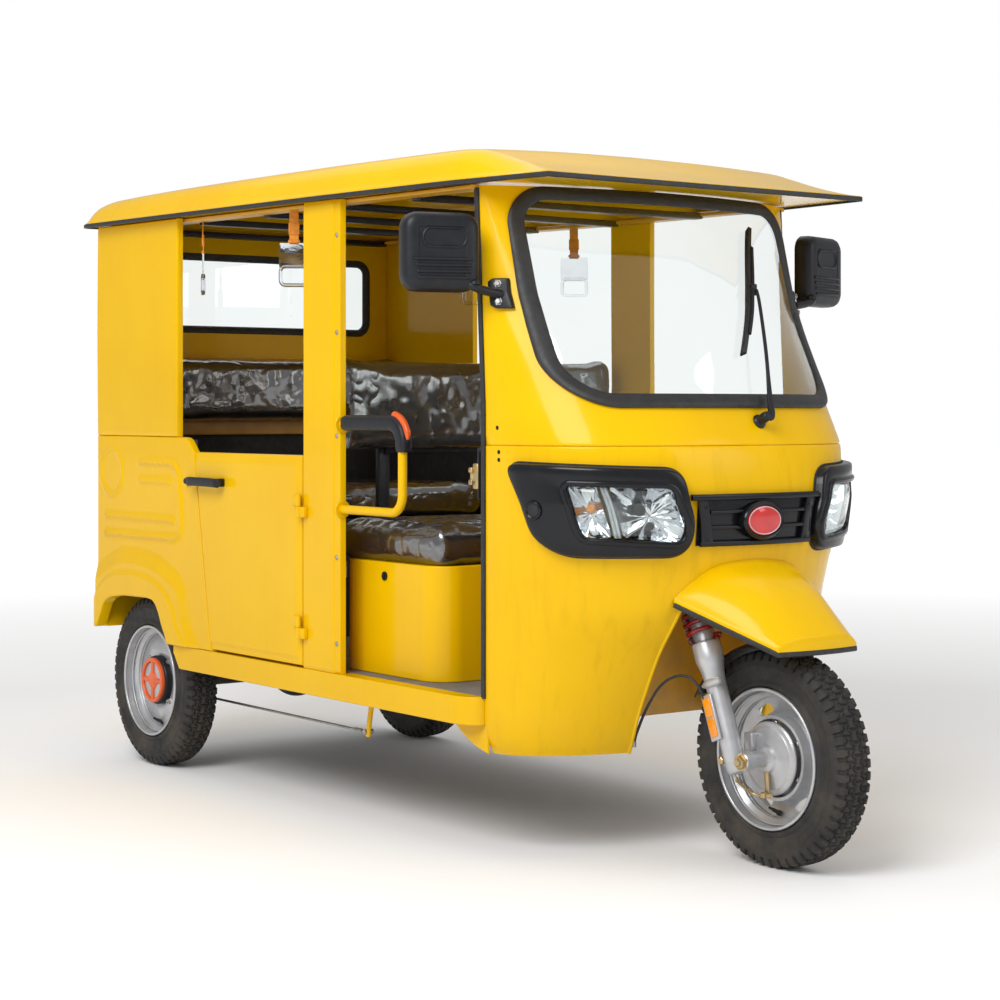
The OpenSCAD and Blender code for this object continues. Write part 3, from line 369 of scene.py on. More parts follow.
def boxPart(centre, size, radius, turn=None, steps=4):
    # sphere points pushed out to the eight corners of a smaller box
    size = np.asarray(size, float)
    radius = min(radius, size.min() / 2 * 0.98)
    tilt = np.linspace(-np.pi / 2, np.pi / 2, 2 * steps)[:, None]
    around = ((np.arange(4 * steps) + 0.5) * 2 * np.pi / (4 * steps))[None, :]
    wide = np.cos(tilt)
    ball = np.stack(np.broadcast_arrays(wide * np.cos(around), wide * np.sin(around), np.sin(tilt)), -1)
    points = np.sign(ball) * (size / 2 - radius) + radius * ball
    if turn is not None:
        points = points @ np.asarray(turn)
    return plugPart(points + np.asarray(centre, float))


def spun(angle, axis="z"):
    # rows of the matrix that turns a part by the angle in degrees
    c, s = math.cos(math.radians(angle)), math.sin(math.radians(angle))
    rows = {"z": [[c, s, 0], [-s, c, 0], [0, 0, 1]], "y": [[c, 0, -s], [0, 1, 0], [s, 0, c]]}
    return np.array(rows[axis])


def upright(points):
    # a drawing's u, v and depth as x, z and y
    return np.stack([points[..., 0], points[..., 2], points[..., 1]], -1)


def plankPart(outline, low, high, place, radius):
    # a flat outline drawn in by a rounded edge at both faces; place maps (u, v, depth) to the part's frame
    outline = np.asarray(outline, float)
    middle = outline.mean(0)
    reach = np.linalg.norm(outline - middle, axis=1, keepdims=True)
    ease = [(radius * (1 - math.sin(a)), radius * (1 - math.cos(a))) for a in np.linspace(0, np.pi / 2, 4)]
    rows = [(inset, low + rise) for inset, rise in ease] + [(inset, high - rise) for inset, rise in ease[::-1]]
    loops = [np.column_stack([middle + (outline - middle) * (1 - inset / reach), np.full(len(outline), depth)])
             for inset, depth in rows]
    return plugPart(place(np.array(loops)))


def mirrored(part):
    # y changes sign
    points, faces = part
    return points * (1, -1, 1), faces


def withMirror(parts):
    # parts and their mirror images
    return parts + [mirrored(part) for part in parts]


def smoothed(mesh, sharp):
    # smooth faces, with edges sharper than the angle kept hard
    mesh.shade_smooth()
    mesh.set_sharp_from_angle(angle=math.radians(sharp))


def makePiece(name, parts, material, body="chassis", replaces=None, sharp=38):
    # joins the parts, merges doubles, turns every face outwards and hands the piece to its body
    points = np.concatenate([p for p, f in parts]) * 0.001
    starts = np.cumsum([0] + [len(p) for p, f in parts[:-1]])
    faces = [[k + s for k in face] for (p, fs), s in zip(parts, starts.tolist()) for face in fs]
    mesh = bpy.data.meshes.new(name)
    mesh.from_pydata(points.tolist(), [], faces)
    work = bmesh.new()
    work.from_mesh(mesh)
    bmesh.ops.remove_doubles(work, verts=work.verts, dist=2e-6)
    bmesh.ops.recalc_face_normals(work, faces=work.faces)
    work.to_mesh(mesh)
    work.free()
    smoothed(mesh, sharp)
    return hand(name, mesh, material, body, replaces)


def makePair(stem, tail, parts, material, own=False, replaces=False, sharp=38):
    # a right piece and its mirror image; own pieces ride on the body that has their name
    for name, turn in (("right", lambda part: part), ("left", mirrored)):
        node = stem + "_" + name
        makePiece(node + "_" + tail, [turn(part) for part in parts], material, node if own else "chassis",
                  node if replaces else None, sharp)


def hand(name, mesh, material, body, replaces, bevel=None):
    # gives a mesh its material, body and the node that it stands for
    piece = bpy.data.objects.new(name, mesh)
    bpy.context.scene.collection.objects.link(piece)
    mesh.materials.clear()
    mesh.materials.append(material)
    if bevel:
        edge = piece.modifiers.new("roundEdges", "BEVEL")
        edge.width, edge.segments = bevel * 0.001, 3
        edge.limit_method, edge.angle_limit = "ANGLE", math.radians(32)
    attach(piece, body)
    if replaces:
        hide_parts(replaces)
    return piece


def softened(name, node, material, bevel, body="chassis"):
    # a merged copy of a plain node, its flat faces whole again and its edges rounded
    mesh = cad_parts[node].data.copy()
    mesh.name = name
    work = bmesh.new()
    work.from_mesh(mesh)
    bmesh.ops.remove_doubles(work, verts=work.verts, dist=2e-5)
    bmesh.ops.dissolve_limit(work, angle_limit=math.radians(1), verts=work.verts, edges=work.edges)
    work.to_mesh(mesh)
    work.free()
    smoothed(mesh, 30)
    return hand(name, mesh, material, body, node, bevel)


setStage()
print("stage set")


# Cowl: half a rounded square in plan, its nose depth and squareness read from heights above the floor
cowl = {"rear": 651.0, "half": 508.0, "depth": 427.0, "wall": 9.0, "foot": -140.0, "seam": 617.0, "top": 1256.1,
        "floor": 390.0, "edge": 4.5, "perDegree": 7.0, "lean": 0.055, "leanFrom": 710.0, "pocket": 60.0,
        "nose": np.array([[-140, .504], [-115, .543], [-90, .569], [-35, .614], [10, .656], [110, .761], [221, .923],
                          [310, .972], [370, .993], [460, 1], [550, .985], [617, .955], [725, .83], [860, .705],
                          [990, .574], [1141, .365], [1250, .215], [1280, .175]]),
        "square": np.array([[250, 2], [330, 2.15], [480, 2.6], [620, 2.7], [725, 2.45], [816, 2.15], [900, 1.88],
                            [990, 1.65], [1280, 1.6]]),
        "tuck": [[-140, -115, -90, -60], [28, 13, 5, 0]],
        "well": [[0, 303], [4, 302], [8, 298], [12, 290], [15, 278], [18, 262], [20.5, 240], [22.5, 210], [24.3, 40],
                 [26, -140]]}
# windshield opening: half width, half height, height of its middle and its corner radii
opening = {"half": 440.0, "tall": 256.55, "middle": 982.55, "topRound": 84.0, "lowRound": 112.0, "gap": 0.3,
           "seal": [(-17, -1), (-17, 3), (-14, 6), (-8, 8), (-3, 11), (4, 13), (11, 12), (16, 8), (18, 3), (18, -1),
                    (6, -3), (-8, -3)]}
lensEdge = np.array([[-224, 388], [-214, 420], [-250, 518], [-452, 524], [-430, 432], [-416, 400]], float)
bezelEdge = np.array([[-206, 354], [-188, 430], [-222, 563], [-505, 577], [-482, 394], [-440, 354]], float)


def curveAt(h, table):
    # smooth curve through a table, its slope at each point that of the line between the neighbours
    x, v = table[:, 0], table[:, 1]
    ends = np.arange(len(x))
    after, before = np.minimum(ends + 1, len(x) - 1), np.maximum(ends - 1, 0)
    slope = (v[after] - v[before]) / (x[after] - x[before])
    i = np.clip(np.searchsorted(x, h, side="right") - 1, 0, len(x) - 2)
    d = x[i + 1] - x[i]
    u = np.clip((h - x[i]) / d, 0, 1)
    return (v[i] * (1 + 2 * u) * (1 - u) ** 2 + v[i + 1] * u ** 2 * (3 - 2 * u)
            + d * (slope[i] * u * (1 - u) ** 2 - slope[i + 1] * u ** 2 * (1 - u)))


def skin(phi, h, off):
    # point at a bend angle in degrees and a height, moved out by off
    # cosine and sine are raised to two over the squareness
    phi, h, off = np.broadcast_arrays(*(np.asarray(value, float) for value in (phi, h, off)))
    back = cowl["rear"] - np.maximum(0, h - cowl["leanFrom"]) * cowl["lean"]
    nose = cowl["rear"] + cowl["depth"] * curveAt(h, cowl["nose"])
    turn = np.radians(phi)
    power = 2 / np.interp(h, *cowl["square"].T)
    x = np.maximum(np.cos(turn), 0) ** power
    y = np.sign(turn) * np.abs(np.sin(turn)) ** power
    half = cowl["half"] - np.interp(h, *cowl["tuck"]) + off
    return np.stack([back + (nose - back + off) * x, half * y, cowl["floor"] + h], -1)


def bend(y, h):
    # bend angle at which the cowl is y from the middle
    y, h = np.broadcast_arrays(np.asarray(y, float), np.asarray(h, float))
    share = np.clip(np.abs(y) / cowl["half"], 0, 1) ** (np.interp(h, *cowl["square"].T) / 2)
    return np.sign(y) * np.degrees(np.arcsin(share))


def onSkin(flat, off):
    # points given as across and height, laid on the cowl
    flat = np.asarray(flat, float)
    return skin(bend(flat[..., 0], flat[..., 1]), flat[..., 1], off)


def overSkin(points):
    # across, height and distance out, laid on the cowl
    return onSkin(points[..., :2], points[..., 2])


def unroll(flat):
    # across and height to the unrolled cowl, whose width is a length for each degree of bend
    flat = np.asarray(flat, float)
    return np.stack([cowl["perDegree"] * bend(flat[..., 0], flat[..., 1]), flat[..., 1]], -1)


def onRoll(flat, off):
    # a point of the unrolled cowl, its length along the skin turned back to an angle
    return skin(flat[..., 0] / cowl["perDegree"], flat[..., 1], off)


def facing(spot, off):
    # a point over the cowl and the cowl's outward direction there, square to two short steps on it
    flat = np.array([spot, (spot[0] + 1, spot[1]), (spot[0], spot[1] + 4)], float)
    at, beside, above = onSkin(flat, 0.0)
    out = unit(np.cross(beside - at, above - at))
    out = out if out[0] > 0 else -out
    return at + off * out, out


def grown(loop, reach):
    # a closed loop moved outwards by the reach
    along = unit(np.roll(loop, -1, 0) - np.roll(loop, 1, 0))
    out = np.stack([along[:, 1], -along[:, 0]], -1)
    return loop + reach * np.sign((out * (loop - loop.mean(0))).sum()) * out


def edgeDrop(d, r):
    # fall of a rounded edge of radius r at distance d from it
    k = np.clip(1 - d / r, 0, 1)
    return r * (1 - np.sqrt(1 - k ** 2))


def smoothStep(t):
    # three t squared less two t cubed, level at 0 and 1
    t = np.clip(t, 0, 1)
    return t * t * (3 - 2 * t)


def lineReach(points, path):
    # distance from each point to the nearest piece of an open path
    rel, run = points[..., None, :] - path[:-1], path[1:] - path[:-1]
    t = np.clip((rel * run).sum(-1) / np.maximum((run * run).sum(-1), 1e-9), 0, 1)
    return np.linalg.norm(rel - t[..., None] * run, axis=-1).min(-1)


def insideBy(points, outline):
    # distance inside a closed outline, negative outside it
    a, b = outline, np.roll(outline, -1, 0)
    reach = lineReach(points, np.vstack([outline, outline[:1]]))
    px, py = points[..., 0, None], points[..., 1, None]
    lift = np.where(np.abs(b[:, 1] - a[:, 1]) < 1e-9, 1e-9, b[:, 1] - a[:, 1])
    hit = ((a[:, 1] > py) != (b[:, 1] > py)) & (px < (b[:, 0] - a[:, 0]) * (py - a[:, 1]) / lift + a[:, 0])
    return np.where(hit.sum(-1) % 2 == 1, reach, -reach)


def eased(outline, cut, arc=8, side=16):
    # outline with each corner turned into a quadratic curve that starts cut before it
    rows = []
    for k in range(len(outline)):
        before, corner, after = outline[k - 1], outline[k], outline[(k + 1) % len(outline)]
        start = corner + (before - corner) * cut / np.linalg.norm(before - corner)
        end = corner + (after - corner) * cut / np.linalg.norm(after - corner)
        last = after + (corner - after) * cut / np.linalg.norm(corner - after)
        t = np.linspace(0, 1, arc + 1)[:, None]
        rows += [start * (1 - t) ** 2 + corner * 2 * t * (1 - t) + end * t ** 2]
        rows += [end + (last - end) * np.linspace(0, 1, side + 1)[1:-1, None]]
    return np.concatenate(rows)


def frameLoop(grow):
    # windshield opening grown by a margin, each point with its partner on the panel's outer edge
    # both are given as bend angle and height
    a, b, middle = opening["half"] + grow, opening["tall"] + grow, opening["middle"]
    columns = lambda x, y: np.column_stack(np.broadcast_arrays(x, y))

    def cornerLoops(r, top, height):
        # a side, a corner arc and half the top of the opening, and the same points on the outer edge
        rise = (b - r) * np.arange(1, 6) / 6
        t = np.linspace(0, 1, 19)
        arc = np.radians(90 * t)
        across = (a - r) * (1 - np.arange(1, 12) / 12)
        near = [columns(a, rise), columns(a - r + r * np.cos(arc), b - r + r * np.sin(arc)), columns(across, b)]
        corner = columns(np.where(t <= .5, 90, 90 + (bend(a - r, height) - 90) * (2 * t - 1)),
                         np.where(t <= .5, b - r + (top - b + r) * 2 * t, top))
        return np.concatenate(near), np.concatenate([columns(90.0, rise), corner, columns(bend(across, height), top)])
    high, low = cowl["top"] - middle, cowl["seam"] + opening["gap"] - middle
    upNear, upFar = cornerLoops(opening["topRound"] + grow, high, cowl["top"])
    downNear, downFar = cornerLoops(opening["lowRound"] + grow, -low, cowl["seam"])
    loops = []
    for up, down, right, top, bottom in ((upNear, downNear, a, b, -b), (upFar, downFar, 90, high, low)):
        loops.append(np.concatenate([[[right, 0]], up, [[0, top]], (up * (-1, 1))[::-1], [[-right, 0]],
                                     down * (-1, -1), [[0, bottom]], (down * (1, -1))[::-1]]))
    near, far = loops
    return (np.column_stack([bend(near[:, 0], near[:, 1] + middle), near[:, 1] + middle]),
            np.column_stack([far[:, 0], far[:, 1] + middle]))


def makeCowl():
    # lower panel: columns from the foot or the wheel well up to the seam, hollowed behind the lamps
    well = smoothPath(cowl["well"], 6)
    foot = np.column_stack([np.linspace(27, 90, 54), np.full(54, cowl["foot"])])
    low = np.concatenate([well, foot])
    low = np.concatenate([low[:0:-1] * (-1, 1), low])
    v = np.concatenate([[0, .004, .01], np.linspace(.02, .98, 58), [.9925, .996, .9985, 1]])
    phi = low[:, :1] + 0 * v
    h = low[:, 1:] + (cowl["seam"] - low[:, 1:]) * v
    flat = np.stack([-cowl["perDegree"] * np.abs(phi), h], -1)
    pocket = cowl["pocket"] * smoothStep((insideBy(flat, unroll(lensEdge)) + 8) / 12)
    off = -edgeDrop(cowl["seam"] - h, cowl["edge"]) - pocket
    loops = np.concatenate([skin(phi, h, off), skin(phi, h, off - cowl["wall"])[:, ::-1]], 1)
    makePiece("cowl_lower_panel", [plugPart(loops)], frontPaint, replaces="cowl_lower", sharp=50)
    rim = np.concatenate([well[:0:-1] * (-1, 1), well])
    makePiece("wheel_well_lip", [tubePart(skin(rim[:, 0], rim[:, 1], -4.0), 6, 10)], paint)


def makeWindshield():
    # upper panel between the opening and the cowl's outer edge, then the glass and its seal
    inner, outer = frameLoop(0)
    share = np.concatenate([np.linspace(0, .94, 16), [.965, .985, .995, 1]])[:, None, None]
    field = np.moveaxis(inner + (outer - inner) * share, -1, 0)
    off = -edgeDrop(field[1] - cowl["seam"], cowl["edge"])
    panel = np.concatenate([skin(*field, off), skin(*field, -cowl["wall"])[::-1]])
    makePiece("cowl_upper_panel", [shellPart(panel)], paint, replaces="cowl_upper", sharp=50)
    middle = np.array([0, opening["middle"]])
    share = np.concatenate([[.02], np.linspace(.12, 1, 12)])[:, None, None]
    field = np.moveaxis(middle + (frameLoop(-opening["gap"])[0] - middle) * share, -1, 0)
    pane = np.concatenate([skin(*field, -2.0), skin(*field, -7.0)[::-1]])
    makePiece("windshield_glass", [plugPart(pane)], glass, replaces="windshield")
    rows = [skin(*frameLoop(grow)[0].T, off) for grow, off in opening["seal"]]
    makePiece("windshield_seal", [shellPart(rows)], rubber)
    # upright seal on each rear edge of the cowl, from the sill to the roof
    h = np.linspace(-4, 1250, 60)
    edge = skin(-90.0, h, 2.0) + (-2.0, 0, 0)
    strip = sweepPart(edge, roundRect(11, 14, 4), up=(1, 0, 0))
    makePiece("cowl_edge_seals", withMirror([strip]), rubber)


makeCowl()
makeWindshield()
print("cowl, glass and seals made")


# Lamps: a bezel ring round a clear lens, two bright bowls behind it and a slanted divider between them.
# Ring rows are shares from lens to bezel edge, or reaches from an edge, each with a distance out from the cowl.
lamp = {"ring": [(0, .9), (0, 19), (.05, 23), (.2, 24), (.5, 25), (.8, 25), (.93, 23.5), (.98, 20), (1, 13), (1, .9),
                 (.66, .9), (.33, .9)],
        "rim": [(-1, 8), (-1, 25), (1.5, 28.5), (6, 30), (11, 29.5), (14, 27), (15, 20), (8, 10)],
        # gap: a thin matte black ring just outside the bezel, a painted shadow gap between bezel and cowl
        "gap": [(-2, .6), (-2, 4), (3.5, 3.4), (4.5, .6)],
        "lens": [(.97, 20), (.66, 19.5), (.33, 18.5), (.12, 16.5), (.03, 13.5), (.006, 11), (.03, 9.5), (.33, 15.5),
                 (.66, 16.5), (.97, 17)],
        "middle": (-335.0, 458.0), "split": np.array([[-396, 521.5], [-360, 402.0]]), "splitGap": 11.0,
        "splitHalf": 9.1, "bezelCorner": 42, "lensCorner": 16,
        "outer": {"edge": [[-449, 521], [-428, 432], [-415, 403]], "corner": 9, "depth": 30.0, "flutes": 10},
        "main": {"edge": [[-228, 391], [-218, 420], [-253, 515]], "corner": 12, "depth": 46.0, "flutes": 16},
        "bulbs": [((-318, 462), -24, 15), ((-292, 424), -16, 10)],
        "signal": [(.5, 11), (7, 9), (11, 3), (11, -6), (7, -12), (.5, -12)], "signalSpot": (-416.0, 466.0),
        "plugSpot": (-483.0, 467.0), "plug": [(15, .2), (17, 2.6), (19, 3.4), (22.5, 2), (24, -3), (15, -3)],
        # socket: a matte black disc set in the plug, painted shade of its hollow
        "socket": [(.4, 1), (9, .9), (10, .4), (16, .4), (16, -3), (.4, -3)]}


def bowlPart(ends, row):
    # rim to centre of a bowl whose depth grows as a parabola, with radial flutes, and back to the rim behind it
    outline = eased(unroll(np.array(row["edge"] + ends)), row["corner"], 6, 12)
    middle, depth = outline.mean(0), row["depth"]
    share = np.linspace(0, .97, 16)[:, None]
    turn = np.arctan2(*(outline - middle).T)[None]
    flat = outline[None] + (middle - outline)[None] * share[..., None]
    flute = 2.6 * np.abs(np.sin(row["flutes"] * turn / 2)) * np.sin(np.pi * share)
    front = onRoll(flat, 6 - depth * (1 - (1 - share) ** 2) + flute)
    return shellPart(np.concatenate([front, onRoll(flat[-1:], 1.0 - depth), onRoll(flat[:1], 1.0 - depth)]))


def bulbPart(spot, deep, r):
    # a round tip on a neck of fixed length
    rows = [(.5, r), (.6 * r, .8 * r), (.95 * r, .3 * r), (r, -2), (.7 * r, -12), (.5 * r, -16), (.5, -16)]
    return lathePart(rows, *facing(spot, deep), 24)


def makeLamps():
    # rings between lens and bezel edge, the lens, bowls, divider and bulbs
    a, b = eased(unroll(bezelEdge), lamp["bezelCorner"]), eased(unroll(lensEdge), lamp["lensCorner"])
    ring = [onRoll(b + (a - b) * share, off) for share, off in lamp["ring"]]
    makePair("lamp_bezel", "ring", [shellPart(ring)], gloss, replaces=True, sharp=60)
    rim = [onRoll(grown(b, reach), off) for reach, off in lamp["rim"]]
    makePair("lamp_bezel", "rim", [shellPart(rim)], gloss, sharp=60)
    # a matte black ring round the bezel's outer edge: painted shadow in the gap between bezel and cowl
    gap = [onRoll(grown(a, reach), off) for reach, off in lamp["gap"]]
    makePair("lamp_bezel", "gap", [shellPart(gap)], lining)
    centre, axis = facing(lamp["plugSpot"], 28.5)
    makePair("lamp_bezel", "plug", [lathePart(lamp["plug"], centre, axis, 36)], gloss)
    # the socket is a matte black disc inside the plug, painted shade of a hollow
    makePair("lamp_bezel", "socket", [lathePart(lamp["socket"], centre, axis, 36)], lining)
    lens = [onRoll(b + (unroll(lamp["middle"]) - b) * share, off) for share, off in lamp["lens"]]
    makePair("headlamp", "lens", [plugPart(lens)], glass, replaces=True)
    top, low = lamp["split"]
    beside = np.array([lamp["splitGap"], 0])
    bowls = [bowlPart([low - beside, top - beside], lamp["outer"]),
             bowlPart([top + beside, low + beside], lamp["main"])]
    makePair("headlamp", "reflector", bowls, chrome, sharp=25)
    path = unroll(top + (low - top) * np.linspace(-.01, 1.01, 9)[:, None])
    w = lamp["splitHalf"]
    section = [(-w, -2), (-w, 9), (2 - w, 12), (-2, 12), (0, 10), (2, 12), (w - 2, 12), (w, 9), (w, -2)]
    bar = np.stack([onRoll(path + (across, 0), off) for across, off in section], 1)
    makePair("headlamp", "divider", [plugPart(bar)], silver)
    makePair("headlamp", "bulbs", [bulbPart(*row) for row in lamp["bulbs"]], gloss)
    signal = lathePart(lamp["signal"], *facing(lamp["signalSpot"], -14), 20)
    makePair("headlamp", "signal_bulb", [signal], amber)


# Grille: bars across the nose, each as its ends, heights and distances out, with an oval blank in the middle
grille = {"bars": [(-182, 182, 378, 498, 1, 5, 1.5), (-201, 201, 487, 502, 2, 19, 4), (-174, 174, 376, 389, 4, 17, 4)]
          + [(y, y + 98, h, h + 9, 4, 14, 3) for h in (417, 454) for y in (-150, 52)],
          "cheek": np.array([(-184, 492), (-172, 382), (-140, 382), (-160, 492)], float), "oval": 436.0,
          "boss": [(62, 43, 3), (66, 47, 4), (66.5, 47.5, 20), (65.5, 46.5, 26), (62, 43, 29), (58, 39, 28),
                   (55.5, 36.5, 25), (2, 1.5, 25)],
          "blank": [(54.5, 35.6, 24), (54.5, 35.6, 27), (53, 34, 28.4), (30, 19, 29.4), (2, 1.5, 29.6)],
          "line": (51.5, 32.8, 27.6), "screws": [(-166, 472), (-160, 390), (166, 472), (160, 390)],
          "screw": [(.3, 2.2), (1.8, 2.2), (2.2, 1.2), (4.2, 2.6), (5.4, 1.4), (5.6, -1), (.3, -1)]}


def slatPart(y0, y1, h0, h1, low, high, radius):
    # a rounded bar section carried across the nose
    h, off = (roundRect(h1 - h0, high - low, radius) + ((h0 + h1) / 2, (low + high) / 2)).T[:, None]
    y = np.linspace(y0, y1, max(3, int((y1 - y0) / 12)))[:, None]
    return plugPart(skin(bend(y, h), h, off))


def ovalLoop(a, b, out):
    # an ellipse before the nose, upright
    turn = np.linspace(0, 2 * np.pi, 65)[:-1]
    nose = skin(0, grille["oval"], 0) + (out, 0, 0)
    return nose + np.stack([0 * turn, a * np.cos(turn), b * np.sin(turn)], -1)


def makeGrille():
    # bars and cheeks on the nose, then the boss, its blank and screws
    parts = [slatPart(*row) for row in grille["bars"]]
    parts += [plankPart(evenLoop(grille["cheek"] * (s, 1), 60), 4, 15, overSkin, 2.5) for s in (1, -1)]
    parts.append(plugPart([ovalLoop(*row) for row in grille["boss"]]))
    makePiece("front_grille_slats", parts, gloss, replaces="front_grille", sharp=45)
    makePiece("front_grille_blank", [plugPart([ovalLoop(*row) for row in grille["blank"]])], blankRed)
    line = tubePart(ovalLoop(*grille["line"]), 1.5, 8, closed=True, up=(1, 0, 0))
    makePiece("front_grille_ring", [line], silver)
    screws = [lathePart(grille["screw"], *facing(spot, 14.5), 16) for spot in grille["screws"]]
    makePiece("front_grille_screws", screws, plastic)


makeLamps()
makeGrille()
print("lamps and grille made")


# Body sides: sheets between a lower and an upper edge line, pressed out by a relief
side = {"half": 555.0, "floor": 390.0, "belt": 1013.0, "axle": -1084.0, "rear": -1387.0, "doorTop": -747.0,
        "edge": 4.0, "gap": 0.3, "roofRear": -1421.0, "roofLength": 2341.0, "roofHeight": 1676.0, "roofFall": 32.0}
quarter = {"arch": [(-288, 16), (-276, 30), (-246, 78), (-232, 97), (-209, 110), (-180, 118), (-100, 127), (60, 130),
                    (96, 126), (118, 112), (136, 90), (158, 50), (176, 26), (190, 0)],
           "shoulder": [(-68, 0), (-50, -3), (-34, -11), (-20, -24), (-8, -37), (0, -43)],
           "ring": (-1284.0, 900.0, 72.0), "ringHeight": 5, "ringWidth": 6, "lineWidth": 7.5,
           "lines": [(8, [(-1089, 932), (-905, 934), (-868, 928), (-845, 907), (-835, 880), (-822, 755), (-832, 724),
                          (-864, 708), (-1325, 706)]),
                     (6, [(-1089, 877), (-904, 877)]), (6.5, [(-1325, 762), (-880, 762)])],
           "bulge": [(-1460, 340), (-1460, 560), (-1325, 635), (-1203, 673), (-1034, 668), (-920, 642), (-809, 588),
                     (-772, 486), (-748, 340)],
           "crease": [(-1440, 340), (-1400, 490), (-1350, 545), (-1272, 583), (-1168, 597), (-1034, 592), (-936, 565),
                      (-872, 520), (-836, 455), (-800, 340)]}
pillar = {"rear": -128.0, "front": 52.0, "thick": 24.0, "step": 24.0, "drop": 5.0,
          "screws": [(38, -551, z) for z in (470, 700, 1024, 1300, 1560)]}
door = {"low": [(-637, 396), (-134, 396)], "high": [(-737, 970), (-134, 970)], "border": 17.0, "stand": 3.5,
        "hinge": (-131.0, -568.0), "hingeHeights": (502.0, 832.0), "leaf": (26, 15, 29),
        "knuckle": [(.3, 0), (6, 0), (7, 1), (7, 29), (6, 30), (.3, 30)],
        "pin": [(.3, 33), (3, 33), (3.9, 32), (3.9, -2), (.3, -2)],
        "grip": [(-738, -578, 883), (-728, -585, 884), (-712, -589, 885), (-640, -589.5, 885), (-575, -589, 884),
                 (-556, -587, 883), (-546, -580, 882)],
        "gripEnds": [[0, .06, .9, 1], [.8, 1, 1, .6]], "gripFeet": [(-712, -569, 884), (-568, -569, 884)],
        "catch": (-770, -561, 884), "catchKnob": [(.3, 9), (6, 9), (8, 7), (8, -2), (.3, -2)]}


def roofEdge(x):
    # height of the eaves, a straight fall from rear to front
    return side["roofHeight"] - side["roofFall"] * (np.asarray(x, float) - side["roofRear"]) / side["roofLength"]


def underRoof(*xs):
    # points a gap below the eaves
    return [(x, roofEdge(x) - side["gap"]) for x in xs]


def bead(reach, height, width):
    # a bell-shaped ridge, highest where the distance is nothing
    return height * np.exp(-(reach / width) ** 2)


def sidePanel(low, high, relief, columns, rows, thick=20.0):
    # straight columns from the lower line to the upper one, the outer face moved by the relief and eased at its outline
    s, v = (np.concatenate([[0, .004, .01], np.linspace(.02, .98, n), [.99, .996, 1]]) for n in (columns, rows))
    low, high = spread(low, s), spread(high, s)
    flat = low[:, None] + (high - low)[:, None] * v[None, :, None]
    deep = np.maximum(insideBy(flat, np.concatenate([low, high[::-1]])), 0)
    out = side["half"] + relief(flat) - edgeDrop(deep, side["edge"])
    back = flat[:, [-1, rows // 2, 0]]
    face = np.stack([flat[..., 0], -out, flat[..., 1]], -1)
    inner = np.stack([back[..., 0], 0 * back[..., 0] + thick - side["half"], back[..., 1]], -1)
    return plugPart(np.concatenate([face, inner], 1))


def quarterRelief(flat):
    # the highest of a ring and pressed lines, on a bulge over the wheel with a crease in it
    x, z, radius = quarter["ring"]
    ring = np.hypot(flat[..., 0] - x, flat[..., 1] - z) - radius
    out = bead(ring, quarter["ringHeight"], quarter["ringWidth"])
    for height, path in quarter["lines"]:
        out = np.maximum(out, bead(lineReach(flat, np.array(path, float)), height, quarter["lineWidth"]))
    out = out + 10 * smoothStep(insideBy(flat, smoothPath(quarter["bulge"], 6, True)) / 60)
    return out + 5 * smoothStep(insideBy(flat, smoothPath(quarter["crease"], 6, True)) / 12)


def makeSides():
    # quarter, upper side and pillar panels, each from its edge lines and relief
    ax, rear, floor, belt, x0 = (side[key] for key in ("axle", "rear", "floor", "belt", "doorTop"))
    low = [(rear, floor + 15)] + [(ax + x, floor + z) for x, z in quarter["arch"]] + [(x0 + 104, floor)]
    high = [(rear, belt)] + [(x0 + x, belt + z) for x, z in quarter["shoulder"]]
    panel = sidePanel(low, high, quarterRelief, 150, 90)
    makePair("rear_quarter", "panel", [panel], paint, replaces=True, sharp=50)
    front, foot = ax + 231, belt + .6

    def crown(flat):
        # a half sine from belt to roof that dies out at the front edge
        rise = np.sin(np.pi * np.clip((flat[..., 1] - belt) / 660, 0, 1))
        return 2.5 * rise * np.clip((front - flat[..., 0]) / 60, 0, 1)
    panel = sidePanel([(rear, foot), (front, foot)], underRoof(rear, front), crown, 30, 30)
    makePair("rear_upper", "panel", [panel], paint, replaces=True, sharp=50)
    # the pillar's front strip is set in behind a sharp step
    ends = pillar["rear"], pillar["front"]
    step = lambda flat: -pillar["drop"] * smoothStep((flat[..., 0] - pillar["step"]) / 5)
    panel = sidePanel([(x, floor) for x in ends], underRoof(*ends), step, 60, 30, pillar["thick"])
    makePair("middle_pillar", "panel", [panel], paint, replaces=True, sharp=40)
    heads = [dome(spot, (0, -1, 0), 6.5) for spot in pillar["screws"]]
    makePiece("pillar_screws", withMirror(heads), steel)


